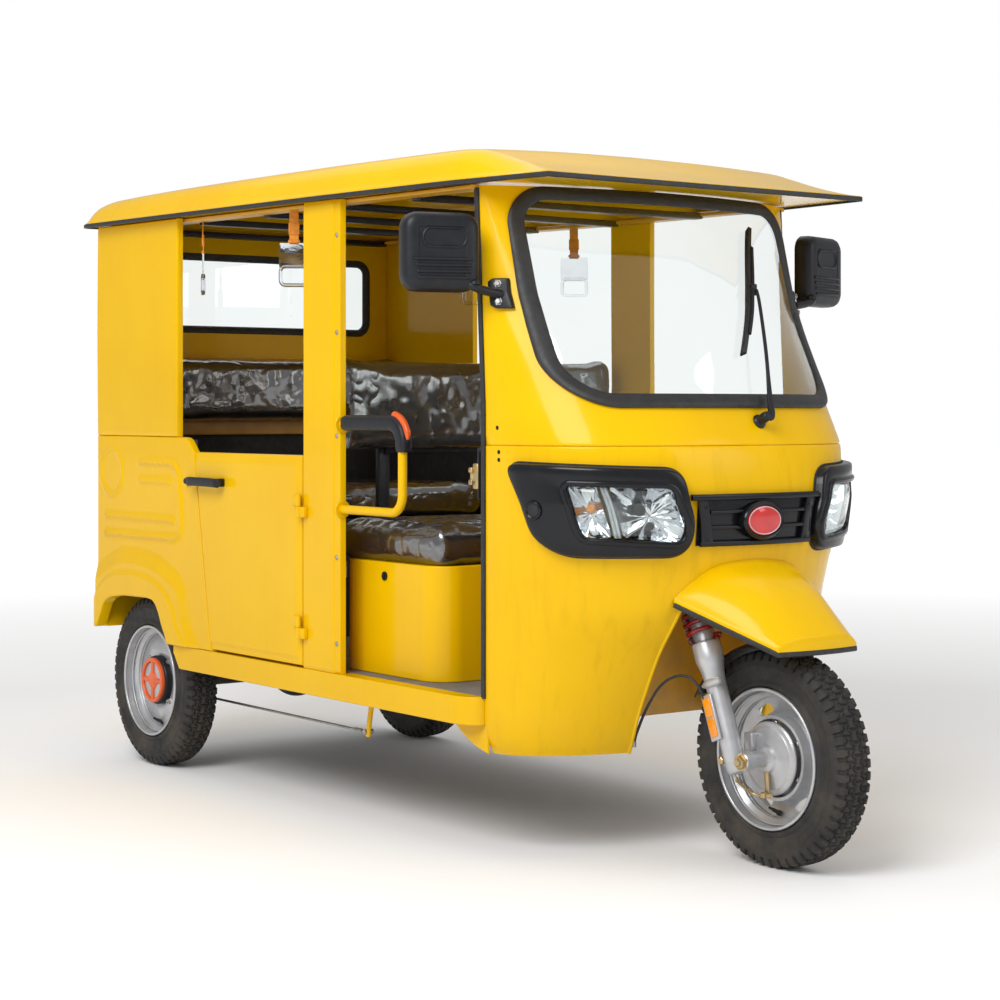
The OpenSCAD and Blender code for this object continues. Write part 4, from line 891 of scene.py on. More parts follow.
def makeDoors():
    # a sheet folded over a frame, so that all but a border at top, front and bottom stands out
    (front, low), top = door["low"][1], door["high"][1][1]

    def border(flat):
        # a smooth step up once past the border's width
        inside = np.minimum(np.minimum(top - flat[..., 1], front - flat[..., 0]), flat[..., 1] - low)
        return door["stand"] * smoothStep((inside - door["border"]) / 5)
    panel = sidePanel(door["low"], door["high"], border, 110, 100)
    makePair("door", "panel", [panel], paint, own=True, replaces=True, sharp=40)
    x, y = door["hinge"]
    upper, lower = [], []
    for z in door["hingeHeights"]:
        upper += [lathePart(door["knuckle"], (x, y, z), up, 20), boxPart((x - 17, y + 5.5, z + 15), door["leaf"], 2.5)]
        lower += [lathePart(door["knuckle"], (x, y, z - 31), up, 20), lathePart(door["pin"], (x, y, z), up, 14),
                  boxPart((x + 17, y + 5.5, z - 16), door["leaf"], 2.5)]
    makePair("door", "hinges", upper, paint, own=True)
    makePair("pillar", "hinges", lower, paint)
    bar = smoothPath(door["grip"], 8)
    size = np.interp(np.linspace(0, 1, len(bar)), *door["gripEnds"])
    grip = [sweepPart(bar, roundRect(26, 11, 5), up=(0, 1, 0), scale=size)]
    grip += [boxPart(spot, (24, 30, 24), 6) for spot in door["gripFeet"]]
    makePair("door", "handle", grip, plastic, own=True)
    x, y, z = door["catch"]
    catch = [boxPart((x, y, z), (30, 12, 22), 5), lathePart(door["catchKnob"], (x, y - 5, z), (0, -1, 0), 20)]
    makePair("door", "catch", catch, plastic)


def dome(centre, axis, radius):
    # a low round screw head
    rows = [(0, .55), (.45, .5), (.8, .3), (1, 0), (1, -.4), (0, -.4)]
    return lathePart(np.maximum(radius * np.array(rows), (.2, -radius)), centre, axis, 16)


makeSides()
makeDoors()
print("sides and doors made")


# Roof: a crowned sheet, its height the product of a run along it and a span across it
roof = {"run": np.array([[0, 0], [.008, .5], [.02, .72], [.06, .86], [.3, .98], [.8, 1], [.87, .93], [.9, .72],
                         [.95, .33], [1, 0]]),
        "span": np.array([[0, 1.15], [.4, 1.12], [.7, 1.05], [.85, 1], [.9, .95], [.94, .78], [.97, .45], [.985, .18],
                          [1, 0]]),
        "crown": 84.0, "brim": 12.0, "sides": [[0, .01, .61, .85, 1], [582, 590, 578, 560.6, 520]], "trim": 4.0,
        "bars": (-1307, -824, -444, -54, 316), "bar": (40, 970, 18), "rail": (-1365, 620), "railY": -501.5}


def roofPoint(u, v, top):
    # eaves height and brim plus crown, run and span multiplied; below, a hollow inside the rim
    x = side["roofRear"] + u * side["roofLength"]
    rise = roof["crown"] * curveAt(u, roof["run"]) * curveAt(np.abs(v), roof["span"])
    hollow = np.interp(u, [.04, .06, .75, .8], [0, 1, 1, 0]) * np.interp(np.abs(v), [.77, .85], [1, 0])
    z = roofEdge(x) + (roof["brim"] + rise if top else 3 + hollow * (rise - 4))
    return np.stack(np.broadcast_arrays(x, v * np.interp(u, *roof["sides"]), z), -1)


def makeRoof():
    # top and under side as one closed sheet, a trim round its edge, bars and rails below
    u = np.concatenate([[0, .003, .008, .013], np.linspace(.02, .96, 80), [.98, .992, 1]])[:, None]
    v = np.concatenate([np.linspace(0, .8, 26), np.linspace(.82, .98, 18), [.985, .99, .995, 1]])
    v = np.concatenate([-v[:0:-1], v])[None]
    rows = np.concatenate([roofPoint(u, v, True), roofPoint(u, v[:, ::-1], False)], 1)
    makePiece("roof_panel", [plugPart(rows)], paint, replaces="roof", sharp=50)
    run = np.linspace(0, 1, 80)
    line = lambda x, y: np.stack(np.broadcast_arrays(x, y, roofEdge(x) + roof["trim"]), -1)
    rear, front = side["roofRear"], side["roofRear"] + side["roofLength"]
    along, wide = rear + run * side["roofLength"], np.interp(run, *roof["sides"])
    loop = np.concatenate([line(along, -wide)[::-1], line(rear, np.linspace(-580, 580, 24)), line(along, wide),
                           line(front, np.linspace(518, -518, 24))])
    trim = sweepPart(loop, roundRect(9, 13, 3.5), closed=True)
    makePiece("roof_edge_trim", [trim], rubber, sharp=45)
    # black bars across, yellow rails along both sides
    half = roof["bar"][0] / 2
    bars = [boxPart((x, 0, roofEdge(x - half) - 10), roof["bar"], 4) for x in roof["bars"]]
    makePiece("roof_frame_bars", bars, plastic, replaces="roof_frame")
    rail = sweepPart([(x, roof["railY"], roofEdge(x) - 6) for x in roof["rail"]], roundRect(56, 10, 3))
    # the rails use the darker inner yellow, painted shade under the roof
    makePiece("roof_frame_rails", withMirror([rail]), shadedInnerPaint)


makeRoof()
print("roof made")


# Fender: heights at the body and at the tip by share of half width, with an upright lip and a rubber edge
fender = {"shares": [0, .24, .48, .62, .67, .86, .96, 1], "body": [341, 339, 332, 322, 317, 286, 264, 252],
          "tip": [173, 173, 172, 170.5, 169, 163, 156, 150], "half": 214.0, "tipHalf": 126.0, "reach": 1299.0,
          "lip": 15.0, "arch": 24.0, "wall": 5.0}


def fenderPoint(u, s, drop, grow=0.0):
    # straight lines from the cowl to the tip, arched, then lowered by the drop and widened at the rim
    f = np.abs(s)
    start = onSkin(np.stack([s * fender["half"], np.interp(f, fender["shares"], fender["body"])], -1), .9)
    tipHeight = side["floor"] + np.interp(f, fender["shares"], fender["tip"])
    tip = np.stack([fender["reach"] - 14 * f ** 2, s * fender["tipHalf"], tipHeight], -1)
    lift = fender["arch"] * np.sin(np.pi * u) * (1 - f ** 4) - drop
    rim = np.stack([grow * (u > .98), grow * np.sign(s) * (f > .98), lift], -1)
    return start + (tip - start) * u[..., None] + rim


def makeFender():
    # shell and lip from the fender's surface, then a trim along the lip
    f = np.concatenate([np.linspace(0, .9, 19), [.93, .95, .965, .98, .99, 1]])
    s = np.concatenate([-f[:0:-1], f])
    u = np.concatenate([np.linspace(0, .94, 40), [.955, .965, .975, .985, .993, 1]])
    # the lip hangs from the last points of both sides and of the tip
    ends = np.concatenate([u, np.ones(len(s) - 2), u[::-1]])
    across = np.concatenate([0 * u - 1, s[1:-1], 0 * u + 1])
    # in front the lip is as deep as it takes to end level
    tip, lip = np.interp(np.abs(across), fender["shares"], fender["tip"]), fender["lip"]
    deep = 1 + (ends > .999) * (tip - fender["tip"][-1]) / lip
    rows = ((0, 0), (1.5, 1), (4, 1.6), (lip, 2), (lip, -2.5), (6, -3))
    skirt = np.array([fenderPoint(ends, across, drop * deep, grow) for drop, grow in rows])
    field = np.meshgrid(u, s, indexing="ij")
    shell = [gridPart(fenderPoint(*field, drop)) for drop in (0, fender["wall"])] + [gridPart(skirt)]
    makePiece("front_fender_shell", shell, paint, replaces="front_fender", sharp=24)
    rim = spread(fenderPoint(ends, across, lip * deep + 1), np.linspace(0, 1, 160))
    makePiece("front_fender_trim", [sweepPart(rim, roundRect(9, 13, 3.5))], rubber, sharp=45)


makeFender()
print("fender made")


# Tyres: one section turned round the axle, its crown cut by stepped grooves
tyre = {"section": [(.4, 0), (.5, .06), (.5, .14), (.44, .22), (.46, .4), (.5, .58), (.49, .74), (.45, .88), (.4, .95),
                    (.3, .985), (.15, 1), (0, 1)],
        "bead": 168.0, "radius": 260.0, "width": 104.0, "middle": 205.0, "pitches": 54, "perPitch": 10, "depth": 6.5,
        "shares": np.concatenate([np.linspace(0, .17, 8), np.linspace(.185, .815, 48), np.linspace(.83, 1, 8)]),
        "ribs": ((78, 1.6, 2.5), (100, 1.8, 4), (112, 1.2, 2.5))}
wheels = {"front_wheel": {"end": "front", "flank": "", "centre": (1161.0, 0.0, 260.0), "sign": -1},
          "rear_wheel_right": {"end": "rear", "flank": "_right", "centre": (-1084.0, -475.0, 260.0), "sign": -1},
          "rear_wheel_left": {"end": "rear", "flank": "_left", "centre": (-1084.0, 475.0, 260.0), "sign": 1}}
rim = {"lips": [(165.5, 4.2, -51.5), (165.5, 4.2, 51.5), (157, 2.6, 30), (147, 3, 7)],
       "valve": [(.3, 34), (3, 34), (3.6, 32), (3.6, 24), (3, 23), (4.6, 20), (5.2, 4), (7, 0), (7, -6), (.3, -6)],
       "valveSpot": (0, 0, -132.0), "boltRing": 84.0, "boltFace": -17.5}
hub = {"drum": [(.3, 39), (50, 39), (54, 37), (68, 36), (73, 33), (75, 28), (75, 8), (78, 4), (78, 0), (.3, 0)],
       "ring": [(57, 36), (57, 44), (59, 46.5), (66, 46.5), (68.5, 44), (68.5, 36)],
       "cap": [(.3, 44), (20, 44), (26, 43), (28.5, 40), (28.5, 36), (.3, 36)], "spoke": (42, 15, 8), "spokeAt": 41.0,
       "nut": [(.3, 13), (5, 13), (5.5, 11), (5.5, 9), (9.5, 8), (10, 6), (10, 0), (.3, 0)], "nutRing": 86.0}


def tyrePart(centre):
    # the section moved along its normals by the tread's relief, then turned round the axle
    height = tyre["radius"] - tyre["bead"]
    half = np.array([(s * tyre["width"], tyre["bead"] + height * r) for s, r in tyre["section"]])
    path = smoothPath(np.vstack([half, half[-2::-1] * (-1, 1)]), 8)
    path[:, 1] = np.minimum(path[:, 1], tyre["radius"])
    section = spread(path, tyre["shares"])
    y, r = section.T
    run = np.concatenate([[0], np.cumsum(np.hypot(np.diff(y), np.diff(r)))])
    across = (run - run[-1] / 2)[None]
    count = tyre["pitches"] * tyre["perPitch"]
    phase = (np.arange(count) / tyre["perPitch"])[:, None] % 1
    reach = np.abs(across)
    gap = lambda shift: np.abs((phase + shift) % 1 - .5)
    # two stepped lines each side of the middle
    stepped = lambda at, shift: np.abs(across - at - 4 * np.clip(3 * np.sin(2 * np.pi * (phase + shift)), -1, 1))
    lines = np.minimum(np.minimum(stepped(13, 0), stepped(-13, .5)), np.minimum(stepped(31, .25), stepped(-31, .75)))
    cut = smoothStep((4.6 - lines) / 2.2)
    # cross cuts between them by turns, and cuts that run out over the shoulder
    inner = smoothStep((.13 - gap(.25)) / .05) * (reach < 12)
    inner = inner + smoothStep((.13 - gap(.75)) / .05) * ((reach >= 12) & (reach < 31))
    outer = smoothStep((.17 - gap(.5)) / .05) * smoothStep((reach - 29) / 4) * smoothStep((66 - reach) / 8)
    relief = -tyre["depth"] * np.maximum(np.maximum(cut, outer), .8 * inner) * smoothStep((70 - reach) / 10)
    # ribs round the wall and a bead line over the rim
    relief = relief + sum(bead(reach - at, tall, wide) for at, tall, wide in tyre["ribs"])
    along = np.gradient(section, axis=0)
    out = unit(np.stack([-along[:, 1], along[:, 0]], -1))
    out = out * np.sign((out * (section - (0, tyre["middle"]))).sum())
    wide, tall = y + relief * out[:, 0], np.minimum(r + relief * out[:, 1], tyre["radius"])
    turn = (np.arange(count) * 2 * np.pi / count)[:, None]
    return shellPart(np.stack([tall * np.cos(turn), wide, tall * np.sin(turn)], -1) + np.asarray(centre))


def makeHub(flank, body, centre, out):
    # brake drum, a ring on four spokes and wheel nuts
    name = "rear_hub" + flank
    makePiece(name + "_drum", [lathePart(hub["drum"], centre, out, 64)], plastic, body)
    x, y, z = basis(out)
    cap = [ringPart(hub["ring"], centre, out, 72)]
    for angle in np.radians((0, 90, 180, 270)):
        along, beside = np.cos(angle) * x + np.sin(angle) * y, np.cos(angle) * y - np.sin(angle) * x
        cap.append(boxPart(centre + hub["spokeAt"] * (along + z), hub["spoke"], 2.5, np.stack([along, beside, z])))
    cap.append(lathePart(hub["cap"], centre, out, 48))
    makePiece(name + "_ring", cap, orange, body)
    spots = [hub["nutRing"] * (np.cos(a) * x + np.sin(a) * y) + 12 * z for a in np.radians((45, 135, 225, 315))]
    nuts = [lathePart(hub["nut"], centre + spot, out, 6) for spot in spots]
    makePiece(name + "_nuts", nuts, steel, body, sharp=25)


def makeWheels():
    # tread, rim, lips and valve of each wheel, then hubs behind and bolts in front
    for body, row in wheels.items():
        centre, out = np.array(row["centre"]), np.array((0.0, row["sign"], 0.0))
        tyreNode, rimNode = (row["end"] + kind + row["flank"] for kind in ("_tyre", "_rim"))
        makePiece(tyreNode + "_tread", [tyrePart(centre)], tyreRubber, body, tyreNode, 32)
        softened(rimNode + "_steel", rimNode, silver, 1.6, body)
        lips = [ringPart(circle(thick, 10) + (radius, at), centre, out, 96) for radius, thick, at in rim["lips"]]
        makePiece(rimNode + "_lips", lips, silver, body)
        valve = lathePart(rim["valve"], centre + 8 * out + rim["valveSpot"], out + (0, 0, .5), 16)
        makePiece(rimNode + "_valve", [valve], rubber, body)
        if row["flank"]:
            makeHub(row["flank"], body, centre, out)
        else:
            spots = [(rim["boltRing"] * np.cos(a), rim["boltFace"], rim["boltRing"] * np.sin(a))
                     for a in np.radians(np.arange(30, 360, 60))]
            makePiece("front_rim_bolts", [dome(centre + spot, out, 7) for spot in spots], steel, body)


makeWheels()
print("wheels made")


# Fork: turned legs in a frame that leans back with the steering axis, profiles as radius and height
fork = {"foot": np.array([1114.0, 0, 260.0]), "rake": math.radians(20.7), "half": 108.0, "lead": 47.0,
        "leg": [(.3, -36), (14, -36), (20, -33), (23.5, -28), (25, -20), (25.5, 60), (25.5, 166), (26, 192), (28, 214),
                (32, 232), (34.5, 242), (35, 250), (35, 282), (33.5, 287), (30, 290), (21, 292), (20, 372), (.3, 372)],
        "boss": [(.3, -30), (5, -24), (10, -10), (12.5, 4), (11, 18), (8.5, 34), (6.5, 40), (.3, 42)],
        "clamp": [(.3, -17), (19, -17), (22, -14), (22, 14), (19, 17), (.3, 17)],
        "stem": [(.3, 360), (24, 360), (24, 388), (16, 394), (16, 898), (.3, 898)],
        "axle": [(.3, -126), (9, -126), (10, -124), (10, 124), (9, 126), (.3, 126)],
        "plate": [(.3, 30), (86, 30), (88, 32), (88, 36), (85, 39), (78, 40), (74, 43), (46, 45), (36, 49), (31, 56),
                  (20, 60), (17, 66), (17, 97), (.3, 97)],
        "axleNut": [(.3, 14), (9, 14), (10, 12), (10, 10), (16, 9), (17, 7), (17, 0), (22, 0), (22, -2), (.3, -2)],
        "pinchNut": [(.3, 12), (7, 12), (10, 10), (11, 8), (11, 0), (.3, 0)],
        "boot": [(24, 286), (34, 287), (40, 292), (44, 301), (42, 309), (45.5, 318), (43, 327), (45.5, 336), (43, 345),
                 (45, 354), (43, 364), (45, 374), (42, 384), (38, 394), (26, 398), (22, 399)],
        "spring": 34.0, "springTurns": 4.2, "springEnds": (298, 390)}
brake = {"pivot": [(.3, 12), (9, 12), (11, 10), (11, -10), (.3, -10)],
         "barrel": [(.3, 16), (6, 16), (7, 14), (7, -14), (.3, -14)],
         "wire": [(14, -62, -84), (-16, -70, -84), (-42, -88, -66), (-58, -100, -36)], "coilTurns": 9, "coil": 6.0}
guard = {"half": 68.0, "outer": 280.0, "inner": 276.0, "fall": 13.0, "angles": (78, 152),
         "stay": [(-130, 66, 236), (-150, 84, 226), (-152, 96, 212)]}
bars = {"start": (-80.0, 202, 921.5), "end": (-130.0, 300, 914), "grip": 17.6, "ring": .9,
        "lever": [(34, 0, 0), (46, 24, -4), (10, 92, -10), (-4, 118, -12)]}
cable = {"width": 7.0, "points": [(1052, -124, 330), (1042, -138, 392), (1022, -150, 436), (984, -164, 450),
                                  (934, -182, 424), (892, -194, 362), (862, -200, 300), (852, -201, 270)],
         "ferrule": [(.3, -6), (5, -6), (6, -4), (6, 8), (4.5, 12), (.3, 12)]}


def forkPiece(name, parts, material, replaces=None, sharp=38):
    # a piece whose parts are given in the fork's own frame
    c, s = math.cos(fork["rake"]), math.sin(fork["rake"])
    turn = np.array([[c, 0, s], [0, 1, 0], [-s, 0, c]])
    placed = [(fork["foot"] + np.asarray(points, float) @ turn, faces) for points, faces in parts]
    return makePiece(name, placed, material, "steering", replaces, sharp)


def makeFork():
    # what is turned or boxed in the fork's frame, right and left
    wheel = fork["lead"] * np.array([math.cos(fork["rake"]), 0, -math.sin(fork["rake"])])
    parts, nuts, pinches, boots, coils, frames, lenses = ([] for _ in range(7))
    turn = np.linspace(0, 2 * np.pi * fork["springTurns"], 150)
    for s in (-1, 1):
        y = s * fork["half"]
        parts += [lathePart(fork["leg"], (0, y, 0), up, 40),
                  lathePart(fork["boss"], (0, y + s * 20, 186), (1, 0, 0), 24),
                  boxPart((wheel[0] / 2, y, wheel[2]), (wheel[0] + 20, 26, 34), 9),
                  lathePart(fork["clamp"], wheel + (0, s * 112, 0), (0, 1, 0), 32),
                  boxPart((-24, y, 4), (24, 22, 34), 8)]
        nuts.append(lathePart(fork["axleNut"], wheel + (0, s * 130, 0), (0, s, 0), 6))
        pinches.append(lathePart(fork["pinchNut"], (-28, y + s * 10, 4), (0, s, 0), 6))
        boots.append(lathePart(fork["boot"], (0, y, 0), up, 40))
        coil = np.stack([np.cos(turn), np.sin(turn)], -1) * fork["spring"] + (0, y)
        coils.append(tubePart(np.column_stack([coil, np.linspace(*fork["springEnds"], 150)]), 5.6, 10))
        frames += [boxPart((-10, y + s * 30, 106), (36, 8, 112), 3), boxPart((-10, y + s * 22, 106), (16, 14, 60), 3)]
        lenses += [boxPart((-10, y + s * 34, z), (26, 5, 46), 2) for z in (81.5, 130.5)]
    parts += [boxPart((0, 0, 367), (62, 276, 30), 14), lathePart(fork["stem"], (0, 0, 0), up, 32),
              lathePart(fork["axle"], wheel, (0, 1, 0), 24)]
    forkPiece("fork_legs", parts, silver, "fork", 34)
    # brake plate with a stepped cone out to the leg and a torque block
    plate = [lathePart(fork["plate"], wheel, (0, -1, 0), 72),
             boxPart(wheel + (-34, -50, 52), (30, 24, 44), 5, spun(20, "y"))]
    forkPiece("fork_brake_plate", plate, silver, sharp=30)
    forkPiece("fork_axle_nuts", nuts + pinches, zinc, sharp=25)
    forkPiece("fork_boots", boots, film)
    forkPiece("fork_springs", coils, redLens)
    forkPiece("fork_reflector_frames", frames, silver)
    forkPiece("fork_reflectors", lenses, amber)


def makeBrake():
    # lever, barrel and pull wire with its spring, beside the front wheel's centre
    centre = np.array(wheels["front_wheel"]["centre"])
    turns = np.linspace(0, 2 * np.pi * brake["coilTurns"], 180)
    coil = np.stack([np.linspace(-20, -52, 180), -72 - brake["coil"] * np.cos(turns) - np.linspace(0, 24, 180),
                     np.linspace(-84, -50, 180) + brake["coil"] * np.sin(turns)], -1)
    parts = [boxPart(centre + (8, -54, -44), (15, 6, 88), 3, spun(-4, "y")),
             lathePart(brake["pivot"], centre + (6, -52, -6), (0, -1, 0), 20),
             lathePart(brake["barrel"], centre + (12, -58, -84), (1, 0, .1), 16),
             boxPart(centre + (8, -62, -84), (16, 16, 14), 3), tubePart(centre + brake["wire"], 2.8, 10, 10),
             tubePart(centre + coil, 1.1, 6), boxPart(centre + (-58, -102, -30), (14, 14, 12), 3)]
    makePiece("fork_brake_lever", parts, zinc, "steering")
    # inner guard that hugs the tyre from its top round to the back
    angle = np.radians(np.linspace(*guard["angles"], 32))[:, None]
    y = np.linspace(-guard["half"], guard["half"], 15)
    y = np.concatenate([y, y[::-1]])[None]
    radius = np.repeat([guard["outer"], guard["inner"]], 15)[None] - guard["fall"] * (np.abs(y) / guard["half"]) ** 4
    sheet = centre + np.stack(np.broadcast_arrays(radius * np.cos(angle), y, radius * np.sin(angle)), -1)
    stays = [tubePart(centre + np.array(guard["stay"]) * (1, s, 1), 6, 10) for s in (-1, 1)]
    makePiece("front_wheel_guard", [plugPart(sheet)] + stays, plastic, "steering")


def makeBars():
    # handlebar tubes, rubber grips with rings, levers and switch blocks in the fork's own frame
    softened("handlebar_tube", "handlebar", gloss, 2, "steering")
    grips, levers = [], []
    for s in (-1, 1):
        start, end, lever = (np.array(bars[key], float) * (1, s, 1) for key in ("start", "end", "lever"))
        along = np.linspace(0, np.linalg.norm(end - start) + 8, 56)
        radius = bars["grip"] + bars["ring"] * np.sin(along * .9)
        radius[[0, -1]] = 2
        grips += [lathePart(np.column_stack([radius, along]), start, end - start, 28),
                  boxPart(start + (6, -s * 14, 4), (40, 30, 40), 8, spun(-27 * s))]
        levers.append(tubePart(start + lever, 5, 10, 8))
    forkPiece("handlebar_grips", grips, rubber)
    forkPiece("handlebar_levers", levers, steel)


def makeCable():
    # brake cable from the leg to the edge of the wheel well
    path = smoothPath(cable["points"], 12)
    tube = tubePart(path, cable["width"] / 2, 10, up=(0, 1, .2))
    piece = makePiece("front_brake_cable", [tube], rubber, "steering")
    piece.parent = None
    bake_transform(piece)
    ferrule = makePiece("front_brake_cable_end", [lathePart(cable["ferrule"], path[-1], up, 16)], steel)


makeFork()
makeBrake()
makeBars()
makeCable()
print("fork, bars and cable made")


# Mirrors: a domed housing of rounded squares, glass behind, an arm and a bolted bracket
mirror = {"spot": np.array([646.0, -638.0, 1475.0]), "turn": -17.5, "wide": 194.0, "tall": 193.0, "round": 40.0,
          "housing": [(-9, -23), (-6, -26), (-2, -26), (0, -23), (0, -4), (-2, 10), (-7, 19), (-15, 24), (-26, 26.5),
                      (-36, 27), (-38, 25.4)],
          "plate": [(5, 24), (5, 28), (2, 29.5), (0, 28), (-1, 26), (-9, 25.8)], "ribs": (-18, -33, -48, -63),
          "glass": [(-11, -22), (-11, -25), (-40, -25.5)],
          "arm": [(692, -540, 1383), (690, -566, 1391), (672, -580, 1400), (650, -590, 1408)],
          "tab": np.array([(-468, 950), (-492, 950), (-498, 958), (-498, 1017), (-492, 1025), (-468, 1025)], float),
          "bolt": [(.3, 7), (6, 7), (7.5, 5.5), (7.5, 1), (10, 1), (10, -1), (.3, -1)]}
wiper = {"root": (50, 674), "cap": [(.3, 38), (7, 38), (11, 35), (13, 28), (13, 8), (18, 4), (19, 0), (.3, 0)],
         "arm": [(62, 690, 36), (80, 742, 35), (112, 850, 34), (150, 968, 33), (165, 1010, 31)],
         "armSize": [[0, .25, .5, 1], [1.5, 1.5, .8, .7]], "ends": np.array([(54, 842), (263, 1177)]),
         "blade": [(-2.2, -10), (2.2, -10), (3.4, -2), (5, 4), (5, 9), (-5, 9), (-5, 4), (-3.4, -2)]}


def stacked(loop, rows):
    # copies of a loop in y and z, each grown by a row's first value and put at the x of its second
    return np.array([np.column_stack([np.full(len(loop), x), grown(loop, grow)]) for grow, x in rows])


def makeMirrors():
    # loops stacked from rim to face, turned and set at the mirror's place
    turn = spun(mirror["turn"])
    place = lambda p: p @ turn + mirror["spot"]
    loop = roundRect(mirror["wide"], mirror["tall"], mirror["round"], 9)
    plate = roundRect(104, 40, 19, 7) + (4, 34)
    shell = [plugPart(place(stacked(loop, mirror["housing"]))), plugPart(place(stacked(plate, mirror["plate"])))]
    for k, z in enumerate(mirror["ribs"]):
        points, faces = boxPart((26, 2, z), (8, 150 - 6 * k, 7.5), 3)
        shell.append((place(points), faces))
    base = onSkin(np.array([(-482.0, 985.0)]), 12.0)[0]
    arm = [tubePart(smoothPath([base] + mirror["arm"], 10), 11, 18), boxPart((650, -594, 1410), (40, 40, 34), 12, turn),
           dome((690, -566, 1402), up, 13), plankPart(evenLoop(mirror["tab"], 48), .8, 16, overSkin, 4)]
    bolts = [lathePart(mirror["bolt"], *facing(spot, 15), 6) for spot in ((-487, 1010), (-489, 965))]
    makePair("mirror", "housing", shell, plastic, replaces=True, sharp=34)
    makePair("mirror", "glass", [plugPart(place(stacked(loop, mirror["glass"])))], mirrorGlass)
    makePair("mirror", "arm", arm, plastic, sharp=40)
    makePair("mirror", "bolts", bolts, steel, sharp=25)


def makeWiper():
    # a cranked arm from its cap to the middle of a blade that follows the glass
    root, axis = facing(wiper["root"], 1)
    at = lambda y, h, off: onSkin(np.array([(y, h)], float), off)[0]
    arm = smoothPath([root + 30 * axis] + [at(*spot) for spot in wiper["arm"]], 10)
    size = np.interp(np.arange(len(arm)) / len(arm), *wiper["armSize"])
    t = np.linspace(0, 1, 40)
    start, end = wiper["ends"]
    line = start + (end - start) * t[:, None]
    yoke = onSkin(line[6:-6], 20 + 4 * np.sin(np.pi * t[6:-6]))
    parts = [lathePart(wiper["cap"], root, axis, 28), sweepPart(arm, roundRect(13, 7, 3), up=axis, scale=size),
             boxPart(at(165, 1010, 22), (14, 16, 30), 4), sweepPart(yoke, roundRect(9, 7, 2.5), up=axis)]
    makePiece("wiper_arm", parts, plastic, replaces="wiper", sharp=40)
    makePiece("wiper_blade", [sweepPart(onSkin(line, 10.0), wiper["blade"], up=axis)], rubber)


makeMirrors()
makeWiper()
print("mirrors and wiper made")


# Cabin: rounded copies of the plain nodes, then the pieces that sit on them
plain = [("chassis_frame", chassisBlack, "frame_black", 3), ("floor_pan", matGrey, "floor_mat", 1.5),
         ("sill_right", paint, "body_paint", 9), ("sill_left", paint, "body_paint", 9),
         # the front bulkhead uses the darker inner yellow, painted shade inside the cabin
         ("rear_wall", paint, "body_paint", 4), ("front_bulkhead", shadedInnerPaint, "body_paint", 3),
         ("dash_shelf", plastic, "trim_black", 3), ("seat_box", paint, "body_paint", 5),
         ("bench_base", lining, "frame_black", 4), ("rear_axle", chassisBlack, "frame_black", 2),
         ("leaf_springs", chassisBlack, "frame_black", 1.5), ("engine_block", castIron, "engine_iron", 8)]
corner = {"curve": [(655, 251), (610, 262), (566, 280), (532, 300), (512, 321), (530, 345), (580, 372), (625, 392),
                    (655, 400)], "back": [(655, 398), (655, 253)]}
armRest = {"middle": (192.0, 942.0), "half": (148.0, 113.0), "round": 48.0, "y": -542.0, "tube": 12.0, "start": 52.0,
           "flange": [(.3, 3), (22, 3), (24, 1), (24, -1), (.3, -1)], "drop": [(0, 0, -8), (0, 0, -16), (0, 0, -22)],
           "padSize": [[0, .02, .06, .95, .985, 1], [.7, .9, 1, 1, .93, .75]],
           "inlaySize": [[0, .1, .85, 1], [.6, 1, 1, .6]]}
rear = {"window": (-1377, 0, 1478), "pane": (900, 232, 34, 9),
        "seal": [(-9, -4), (-9, 4), (0, 13), (12, 13), (15, 10), (15, 10), (15, -10), (12, -14), (0, -14)],
        "lampY": 469, "lamps": [("housing", plastic, "trim_black", -1394, 685, (18, 98, 198), 7),
                                ("red", redLens, "lamp_red", -1402, 728, (18, 84, 92), 6),
                                ("amber", amber, "lamp_red", -1402, 653, (18, 84, 50), 6),
                                ("clear", chrome, "lamp_clear", -1401, 610, (16, 84, 30), 6)],
        "beads": [((-1387, 0, z), (9, wide, 14), 4.4)
                  for z, wide in ((820, 900), (930, 900), (1130, 860), (1230, 860))],
        "lining": [((-1066, -531, 880), (596, 5, 252), 2), ((-1066, 531, 880), (596, 5, 252), 2),
                   ((-1363, 0, 900), (5, 1056, 224), 2)], "board": ((-1355, 0, 1036), (24, 1052, 44), 4)}
small = {"lock": [(.3, 3), (4, 3), (4.6, 1.5), (9, 4), (12, 3), (12, -1), (.3, -1)], "lockSpot": (134, -460.5, 653),
         "clip": [((-64, -463, 660), (26, 7, 46), 3), ((-64, -467, 640), (16, 6, 34), 2.5)],
         "clipPin": [(.3, 8), (6, 8), (6, -3), (.3, -3)], "clipPinSpot": (-64, -464, 676),
         "latch": [((592, -486, 929), (22, 20, 64), 4), ((580, -490, 944), (16, 26, 14), 4),
                   ((580, -490, 914), (16, 26, 14), 4)],
         "latchPin": [(.3, -16), (7, -16), (7, 16), (.3, 16)], "latchPinSpot": (576, -490, 929),
         "screwAngle": -86.0, "screwHeights": (582, 601, 660), "screwRadius": 5.5,
         "dial": [(.3, 6), (32, 6), (34, 10), (40, 10), (43, 4), (43, -6), (.3, -6)],
         "dials": [(912, -52, 1034), (912, 48, 1034)]}
strap = {"turns": {(-794.0, -1): -28, (-268.0, -1): 56, (-794.0, 1): 25, (-268.0, 1): 40}, "y": 499.0, "wide": 84.0,
         "low": 1446.0, "split": 1490.0, "high": 1560.0}
linkage = {"foot": np.array([66.0, -470, 228]), "end": np.array([-1064.0, -390, 212]),
           "arm": [(24, 0, 112), (16, 0, 70), (4, 0, 14), (0, 0, -8)],
           "pin": [(.3, 18), (6, 18), (7, 16), (7, -10), (.3, -10)]}


